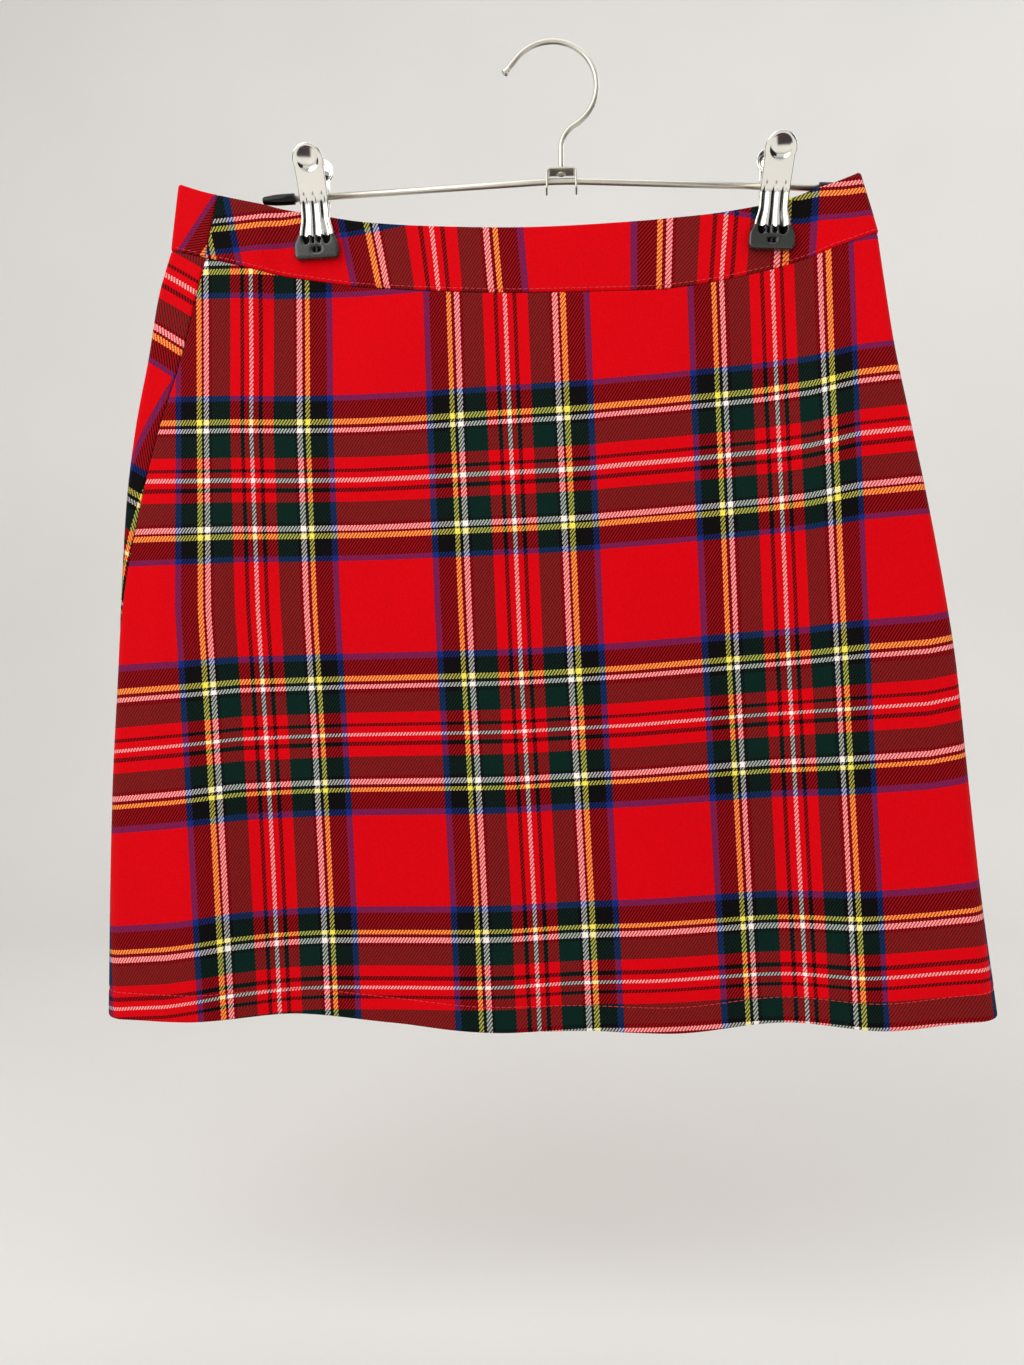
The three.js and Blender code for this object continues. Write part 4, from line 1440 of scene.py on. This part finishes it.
def ears(name, shape, place):
    """The two plates of a lever that hold it to the bar: discs drawn out to its side walls."""
    side, radius = shape["side"], EAR_ROUND * MM
    bm = bmesh.new()
    for hand in (-1, 1):
        stood = Matrix.Rotation(math.pi / 2, 4, "Y")
        stood.translation.x = hand * shape["ears"] * MM
        disc = bmesh.ops.create_circle(bm, cap_ends=True, segments=36, radius=radius, matrix=stood)
        for v in disc["verts"]:
            out = side * v.co.y / radius
            if out > 0:
                reach = shape["knee"] + 0.5 + 0.3 * max(v.co.z / MM, 0)
                v.co.y = side * out * reach * MM
                v.co.z *= 1 + 1.1 * out**2
    grown = bmesh.ops.extrude_face_region(bm, geom=list(bm.faces), use_keep_orig=True)["geom"]
    for v in (g for g in grown if isinstance(g, bmesh.types.BMVert)):
        v.co.x -= math.copysign(EAR_THICK * MM, v.co.x)
    bmesh.ops.transform(bm, matrix=place, verts=bm.verts)
    round_edges(add_piece(name, closed_mesh(bm, name), PLATING, "clip_plating"), 0.15)


def spring(name, place, node):
    """A torsion spring round the bar, with an arm up each lever."""
    half, last = SPRING_HALF, int(SPRING_TURNS * SPRING_STEPS)
    path = [Vector((half, -4.6, 5.6)), Vector((half, -3.9, 3.6))]
    for i in range(last + 1):
        angle = math.pi + i / SPRING_STEPS * FULL_TURN
        y, z = SPRING_MEAN * math.cos(angle), SPRING_MEAN * math.sin(angle)
        path.append(Vector((mix(half, -half, i / last), y, z)))
    path += [Vector((-half, 3.6, 3.6)), Vector((-half, 4.1, 5.6))]
    bm = bmesh.new()
    draw_wire(bm, path, SPRING_WIRE, 8)
    bmesh.ops.transform(bm, matrix=place, verts=bm.verts)
    add_piece(name, closed_mesh(bm, name), WIRE_FINISH, "hanger_wire", node)


# %% [markdown]
# ### Vinyl tips
#
# The jaw was dipped in vinyl, so its tip is a soft block with no sharp edge. The flutes of
# the metal show through as hollows at its top, and a drain hole is left in its middle.

# %% Dip a jaw tip
TIP_TOP, TIP_END = -21.3, -33.6
TIP_NEAR, TIP_FAR = 2.5, 6.1  # its inner and outer face, from the bar's plane
TIP_NARROW, TIP_WIDE = 9.6, 11.5
TIP_CORNER = 2.6
TIP_HOLLOWS = [  # x, how far under the top, half width, half height, depth
    (-5.4, 2.2, 2.0, 3.2, 2.0),  # the flutes' ends
    (-1.8, 1.8, 1.1, 3.4, 2.0),
    (1.4, 1.8, 1.1, 3.4, 2.0),
    (5.2, 2.2, 2.3, 3.3, 2.0),
    (-1.1, 7.8, 1.1, 1.5, 1.6),  # the drain hole's two eyes, and the dent round them
    (1.1, 7.8, 1.1, 1.5, 1.6),
    (0, 7.8, 3.2, 2.6, 0.3),
]
TIP_CUTS = 43
NEARLY = 0.999  # keeps the outermost ring from folding onto the edge


def tip_half_width(z):
    flare = mix(TIP_NARROW, TIP_WIDE, ease((TIP_TOP - z) / 5.5))
    corner = np.clip((TIP_END + TIP_CORNER - z) / TIP_CORNER, 0, 1)
    top = np.clip((z - TIP_TOP + 0.8) / 0.8, 0, 1)
    return flare - TIP_CORNER * (1 - np.sqrt(1 - corner**2)) - 0.5 * top**2


def tip_hollow(x, z):
    """How far the outer face lies in."""
    total = 0
    for place, below, half_width, half_height, depth in TIP_HOLLOWS:
        inside = 1 - ((x - place) / half_width) ** 2 - ((z - TIP_TOP + below) / half_height) ** 2
        total += depth * ease(2 * inside)
    return total


def jaw_tip(name, side, place, node):
    """A closed pillow: a cube's faces divided, then drawn to the tip's shape."""
    bm = bmesh.new()
    # a layer that marks where the hollows get painted shade
    painted_shade_layer = bm.verts.layers.float.new("hollow_painted_shade")
    bmesh.ops.create_cube(bm, size=2)
    bmesh.ops.subdivide_edges(bm, edges=bm.edges, cuts=TIP_CUTS, use_grid_fill=True)
    for v in bm.verts:
        u, deep, w = v.co
        z = mix(TIP_END, TIP_TOP, (math.sin(w * math.pi / 2 * NEARLY) + 1) / 2)
        across = math.sin(u * math.pi / 2 * NEARLY)
        x = across * float(tip_half_width(z))
        edge = min((1 - abs(across)) * 11, z - TIP_END, 2 * (TIP_TOP - z))
        soft = 1.1 * (1 - math.sqrt(1 - (1 - min(max(edge, 0) / 1.4, 1)) ** 2))
        pressed_in = float(tip_hollow(x, z)) * min(max(deep + 0.5, 0), 1)
        # painted shade: the deeper a point is pressed in, the darker its vinyl is painted
        v[painted_shade_layer] = min(pressed_in, 1)
        near, far = TIP_NEAR + 0.35 * soft, TIP_FAR - soft - pressed_in
        y = side * mix(near, far, (deep + 1) / 2)
        v.co = Vector((x, y, z)) * MM
    bmesh.ops.transform(bm, matrix=place, verts=bm.verts)
    add_piece(name, closed_mesh(bm, name), VINYL, "black_vinyl", node)


# %% Put both clips on the bar
CLIP_PLACES = {"left": -121.4, "right": 112.4}

for hand, x in CLIP_PLACES.items():
    slope = math.atan2(bar_height(x + 1) - bar_height(x - 1), 2)
    place = Matrix.Translation(upright(x, bar_height(x)) * MM) @ Matrix.Rotation(-slope, 4, "Y")
    for face, shape in LEVERS.items():
        node = f"{hand}_clip_{face}"
        lever(f"{node}_pressing", shape, place, f"{node}_lever")
        ears(f"{node}_ears", shape, place)
        jaw_tip(f"{node}_vinyl", shape["side"], place, f"{node}_tip")
    spring(f"{hand}_clip_spring", place, f"{hand}_clip_coil")

# %% [markdown]
# ## Studio
#
# A pale floor runs up behind the skirt as one soft curve. A large soft light stands in
# front on the left, a weaker one fills from the right, one hangs above and one lights the
# back. Bright metal needs something to mirror: the room is bright in front, dark on the
# right and at the far left, and the paper under the skirt looks dark in a mirror, as a
# shaded floor would.

# %% Paper
SHADED_BEHIND, SHADED_WIDE, SHADED_BELOW = -0.35, 0.5, -0.3  # in metres: y, half of x, z


def clamped(tree, value):
    return sums(tree, "MAXIMUM", 0, sums(tree, "MINIMUM", 1, value))


def studio_paper():
    material, tree, shader = principled("pale studio paper", Roughness=0.9)
    here = tree.nodes.new("ShaderNodeTexCoord").outputs["Object"]
    pale = blended(tree, "MIX", noise(tree, here, 3, 2), linear(226, 224, 220), linear(234, 232, 228))
    place = tree.nodes.new("ShaderNodeSeparateXYZ")
    tree.links.new(here, place.inputs[0])
    beyond = sums(tree, "SUBTRACT", place.outputs["Y"], SHADED_BEHIND)
    inside = sums(tree, "SUBTRACT", SHADED_WIDE, sums(tree, "ABSOLUTE", place.outputs["X"]))
    shaded = sums(tree, "LESS_THAN", place.outputs["Z"], SHADED_BELOW)
    for distance, steepness in ((beyond, 10), (inside, 8)):
        softened = clamped(tree, sums(tree, "MULTIPLY", distance, steepness))
        shaded = sums(tree, "MULTIPLY", shaded, softened)
    # painted shadow: to mirrored rays only, the paper under the skirt is painted dark
    mirrored = tree.nodes.new("ShaderNodeLightPath").outputs["Is Glossy Ray"]
    tone = blended(tree, "MIX", sums(tree, "MULTIPLY", mirrored, shaded), pale, linear(52, 46, 50))
    tree.links.new(tone, shader.inputs["Base Color"])
    return material


# %% Floor and backdrop
FLOOR, BACK, BEND = -660, 1300, 500
PAPER_FRONT, PAPER_TOP, PAPER_HALF = -3000, 2200, 1800


def backdrop():
    profile = [(PAPER_FRONT, FLOOR), (BACK - BEND, FLOOR)]
    for angle in np.radians(range(9, 91, 9)):
        profile.append((BACK - BEND * (1 - math.sin(angle)), FLOOR + BEND * (1 - math.cos(angle))))
    profile.append((BACK, PAPER_TOP))
    bm = bmesh.new()
    verts, _ = grow(bm, open_row(bm, [(-PAPER_HALF, y, z) for y, z in profile]))
    bmesh.ops.translate(bm, vec=(2 * PAPER_HALF * MM, 0, 0), verts=verts)
    mesh = closed_mesh(bm, "studio_paper")
    mesh.materials.append(studio_paper())
    mesh.shade_smooth()
    paper = bpy.data.objects.new("studio_paper", mesh)
    bpy.context.scene.collection.objects.link(paper)


backdrop()

# %% Lights
MIDDLE = Vector((0, 0, -0.3))  # what every lamp aims at, in metres


def soft_light(name, place, size, power, colour=(1, 1, 1), mirrored=True):
    light = bpy.data.lights.new(name, "AREA")
    light.shape = "RECTANGLE"
    light.size, light.size_y = size
    light.energy = power
    light.color = colour
    lamp = bpy.data.objects.new(name, light)
    lamp.visible_glossy = mirrored
    lamp.location = place
    lamp.rotation_euler = (MIDDLE - Vector(place)).to_track_quat("-Z", "Y").to_euler()
    bpy.context.scene.collection.objects.link(lamp)


soft_light("key", (-1.05, -1.0, 0.6), (1.5, 1.5), 16.5, (1, 0.985, 0.97))
soft_light("fill", (1.2, -1.0, 0.1), (1.2, 1.6), 6.5, (0.95, 0.97, 1), mirrored=False)
soft_light("top", (0.1, -0.25, 1.2), (1.6, 1.4), 9)
soft_light("back", (1.7, 0.8, 0.9), (1.4, 1.4), 12)

# %% Surroundings, for the plating to mirror
ROOM_GREYS = {0.5: 1.2, 0.62: 1.05, 0.8: 0.5}  # at the horizon, above it, and overhead
DARK_RIGHT, DARK_LEFT, DARK_BELOW = 0.55, -0.93, 0.3

world = bpy.data.worlds.new("studio air")
world.use_nodes = True
bpy.context.scene.world = world
air = world.node_tree
split = air.nodes.new("ShaderNodeSeparateXYZ")
air.links.new(air.nodes.new("ShaderNodeTexCoord").outputs["Generated"], split.inputs[0])
ramp = air.nodes.new("ShaderNodeValToRGB")
stops = ramp.color_ramp.elements
stops[0].position, stops[1].position = min(ROOM_GREYS), max(ROOM_GREYS)
for height in sorted(ROOM_GREYS)[1:-1]:
    stops.new(height)
for stop, height in zip(stops, sorted(ROOM_GREYS)):
    stop.color = (ROOM_GREYS[height],) * 3 + (1,)
air.links.new(between(air, split.outputs["Z"], 0.5, 1.0), ramp.inputs[0])
right = sums(air, "GREATER_THAN", split.outputs["X"], DARK_RIGHT)
left = sums(air, "LESS_THAN", split.outputs["X"], DARK_LEFT)
low = sums(air, "LESS_THAN", split.outputs["Z"], DARK_BELOW)
dark = sums(air, "MULTIPLY", sums(air, "ADD", right, left), low)
mirrored = blended(air, "MIX", dark, ramp.outputs[0], (0.02, 0.02, 0.02, 1))
straight_on = air.nodes.new("ShaderNodeLightPath").outputs["Is Camera Ray"]
background = air.nodes["Background"]
seen = blended(air, "MIX", straight_on, mirrored, (0.9, 0.9, 0.88, 1))
air.links.new(seen, background.inputs["Color"])
background.inputs["Strength"].default_value = 0.6
bpy.context.scene.view_settings.view_transform = "Standard"
